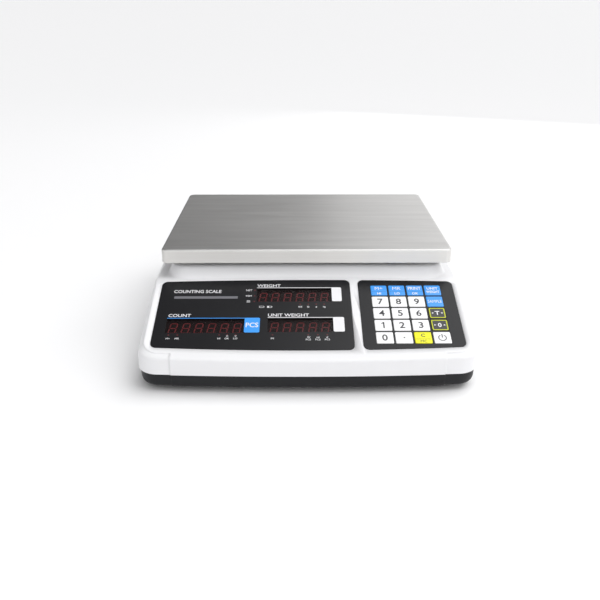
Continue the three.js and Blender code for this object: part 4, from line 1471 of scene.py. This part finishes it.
class OBJECT_OT_scale_ports(Operator):
    """Add the serial port and the power jack in the rear wall"""

    bl_idname = "object.scale_ports"
    bl_label = "Connectors"

    def execute(self, context):
        nylon, zinc = ("moulded_black_nylon", "jack_plastic"), ("zinc_plated_steel", "zinc_plated_steel")
        low, high = node_box("serial_port")
        corners = low[[0, 2]], high[[0, 2]]
        x, z = centre = sum(corners) / 2
        start, at = low[1], high[1] - 3.3
        shell = prism(d_outline(centre, 8.6, 4.2, 1.5), -0.4, 2.9)
        cup = prism(d_outline(centre, 8.1, 3.7, 1.5), 0.8, 3.4)
        rear_piece("serial_shell", shell, at, *zinc, [cup], ["serial_port"])
        flange = rectangle_loft(*corners, 1.6, [(0.1, -1.2), (0, -1.0), (0, -0.2), (0.2, 0)])
        rear_piece("serial_flange", flange, at, *zinc)
        places = [(x + PIN_PITCH * (i - 2), z + 1.4) for i in range(5)]
        places += [(x + PIN_PITCH * (i - 1.5), z - 1.4) for i in range(4)]
        holes = [prism(circle_at(place, 0.6, 16), 1, 3) for place in places]
        rear_piece("serial_insert", prism(d_outline(centre, 7.8, 3.4, 1.4), -0.2, 2.2), at, *nylon, holes)
        body = rectangle_loft(*corners, 1.0, [(0.3, 0), (0, 0.3), (0, high[1] - 0.1 - start - 3.6)])
        rear_piece("serial_body", body, start, *nylon)
        nut = [(1.2, -0.2), (2.6, -0.2), (2.7, 0), (2.7, 2.6), (2.45, 2.9), (1.6, 2.9), (1.5, 2.6), (1.5, 1.2), (0.4, 1.0)]
        for number, side in ((1, -1), (2, 1)):
            rear_piece(f"serial_nut_{number}", turned_profile((x + side * 12.5, z), nut, 6), at, *zinc, angle=25)
        low, high = node_box("dc_jack")
        corners, depth = (low[[0, 2]], high[[0, 2]]), high[1] - low[1]
        centre, start = sum(corners) / 2, low[1]
        case = rectangle_loft(*corners, 1.2, [(0.3, 0), (0, 0.3), (0, depth - 0.6), (0.5, depth - 0.1)])
        bore = prism(circle_at(centre, 3.3, 40), depth - 10, depth + 1)
        rear_piece("jack_body", case, start, *nylon, [bore], ["dc_jack"])
        pin = [(0.9, depth - 10.2), (1.05, depth - 10), (1.05, depth - 1.6), (0.9, depth - 1.2), (0.4, depth - 1.0)]
        rear_piece("jack_pin", turned_profile(centre, pin, 24), start, *zinc, angle=40)
        rim = depth - 0.15
        ring = [(3.35, rim - 0.4), (4.3, rim - 0.4), (4.3, rim), (4.1, rim + 0.05), (3.5, rim + 0.05), (3.35, rim)]
        rear_piece("jack_ring", turned_profile(centre, ring, 48, ring=True), start, *zinc, angle=40)
        return {"FINISHED"}


class OBJECT_OT_scale_boards(Operator):
    """Add the circuit boards"""

    bl_idname = "object.scale_boards"
    bl_label = "Circuit boards"

    def execute(self, context):
        for name in ("main_board", "display_board", "keypad_board"):
            carried(name, f"{name}_laminate", "housing", "solder_mask_board", 0.1, 1)
        return {"FINISHED"}


# ---- surroundings ------------------------------------------------------------------------------------------


def area_light(name, at, towards, width, height, power):
    """A soft rectangular light at a point, turned towards another."""
    data = bpy.data.lights.new(name, "AREA")
    data.shape = "RECTANGLE"
    data.size, data.size_y = width, height
    data.energy = power
    light = linked(name, data)
    light.location = at
    x, y, z = np.array(towards, float) - at
    light.rotation_euler = (math.pi / 2 + math.atan2(z, math.hypot(x, y)), 0, math.atan2(y, x) - math.pi / 2)


class OBJECT_OT_scale_stage(Operator):
    """Add the floor, the lights and the camera"""

    bl_idname = "object.scale_stage"
    bl_label = "Stage"

    def execute(self, context):
        stage = context.scene.scale_stage
        reach = stage.floor_reach
        x, y = np.meshgrid(np.linspace(-reach, reach, 9), np.linspace(-reach, reach, 9))
        index = np.arange(81).reshape(9, 9)
        quads = np.stack([index[:-1, :-1], index[:-1, 1:], index[1:, 1:], index[1:, :-1]], -1).reshape(-1, 4)
        mesh = bpy.data.meshes.new("floor")
        mesh.from_pydata(np.stack([x, y, np.zeros_like(x)], -1).reshape(-1, 3), [], quads.tolist())
        mesh.materials.append(material("matt_white_card"))
        linked("floor", mesh)
        world = bpy.data.worlds.new("pale surround")
        world.use_nodes = True
        tree = world.node_tree
        # One soft dark patch at the back on the left is what the steel and the console reflect as a slow gradient.
        way = node(tree, "ShaderNodeTexCoord").outputs["Generated"]
        near = node(tree, "ShaderNodeVectorMath", {0: way, 1: (-0.45, 0.65, 0.61)}, operation="DOT_PRODUCT")
        fade = {"Value": near.outputs["Value"], "From Min": 0.48, "From Max": 0.92}
        fade |= {"To Min": stage.sky, "To Max": stage.dark_patch}
        strength = node(tree, "ShaderNodeMapRange", fade, interpolation_type="SMOOTHSTEP")
        tree.nodes["Background"].inputs["Color"].default_value = (1.0, 1.0, 1.0, 1.0)
        tree.links.new(strength.outputs["Result"], tree.nodes["Background"].inputs["Strength"])
        context.scene.world = world
        area_light("steel_light", (0.72, 1.25, 0.5), (0.3, 0.05, 0.1), 1.3, 0.9, stage.steel_light)
        area_light("side_light", (0.95, -0.75, 0.5), (0.1, -0.1, 0.06), 0.7, 0.7, stage.side_light)
        area_light("fill_light", (0.3, -0.8, 1.3), (0, -0.1, 0.05), 1.2, 1.2, stage.fill_light)
        sun = bpy.data.lights.new("overhead", "SUN")
        sun.energy = stage.day
        sun.angle = math.radians(60)
        linked("overhead", sun).rotation_euler = (math.radians(-7), math.radians(26), 0)
        data = bpy.data.cameras.new("camera")
        data.lens = stage.lens
        data.sensor_width = 36
        data.clip_start, data.clip_end = 0.01, 60
        data.dof.use_dof = False
        camera = linked("camera", data)
        camera.location = (-stage.aside, -stage.distance, stage.height)
        camera.rotation_euler = (math.pi / 2 - stage.pitch, 0, -stage.yaw)
        context.scene.camera = camera
        context.scene.view_settings.view_transform = "Standard"
        return {"FINISHED"}


PIECES = (
    OBJECT_OT_scale_base,
    OBJECT_OT_scale_cover,
    OBJECT_OT_scale_films,
    OBJECT_OT_scale_displays,
    OBJECT_OT_scale_printing,
    OBJECT_OT_scale_keys,
    OBJECT_OT_scale_weighing,
    OBJECT_OT_scale_platter,
    OBJECT_OT_scale_level,
    OBJECT_OT_scale_battery,
    OBJECT_OT_scale_feet,
    OBJECT_OT_scale_screws,
    OBJECT_OT_scale_ports,
    OBJECT_OT_scale_boards,
    OBJECT_OT_scale_stage,
)


class VIEW3D_PT_scale(Panel):
    """Lists the pieces and what can be changed"""

    bl_label = "Counting scale"
    bl_space_type = "VIEW_3D"
    bl_region_type = "UI"
    bl_category = "Scale"

    def draw(self, context):
        column = self.layout.column()
        for piece in PIECES:
            column.operator(piece.bl_idname)
        for group in (context.scene.scale_sizes, context.scene.scale_colours, context.scene.scale_stage):
            for key in type(group).__annotations__:
                column.prop(group, key)


GROUPS = {"scale_sizes": ScaleSizes, "scale_colours": ScaleColours, "scale_stage": ScaleStage}


def register():
    """Adds the properties, operators and panel."""
    for kind in (*GROUPS.values(), *PIECES, VIEW3D_PT_scale):
        bpy.utils.register_class(kind)
    for name, kind in GROUPS.items():
        setattr(bpy.types.Scene, name, PointerProperty(type=kind))


def unregister():
    """Takes the properties, operators and panel away."""
    for name in GROUPS:
        delattr(bpy.types.Scene, name)
    for kind in (VIEW3D_PT_scale, *PIECES[::-1], *GROUPS.values()):
        bpy.utils.unregister_class(kind)


def main():
    """Builds every piece and the stage."""
    register()
    for piece in PIECES:
        group, name = piece.bl_idname.split(".")
        getattr(getattr(bpy.ops, group), name)()


if __name__ == "__main__":
    main()
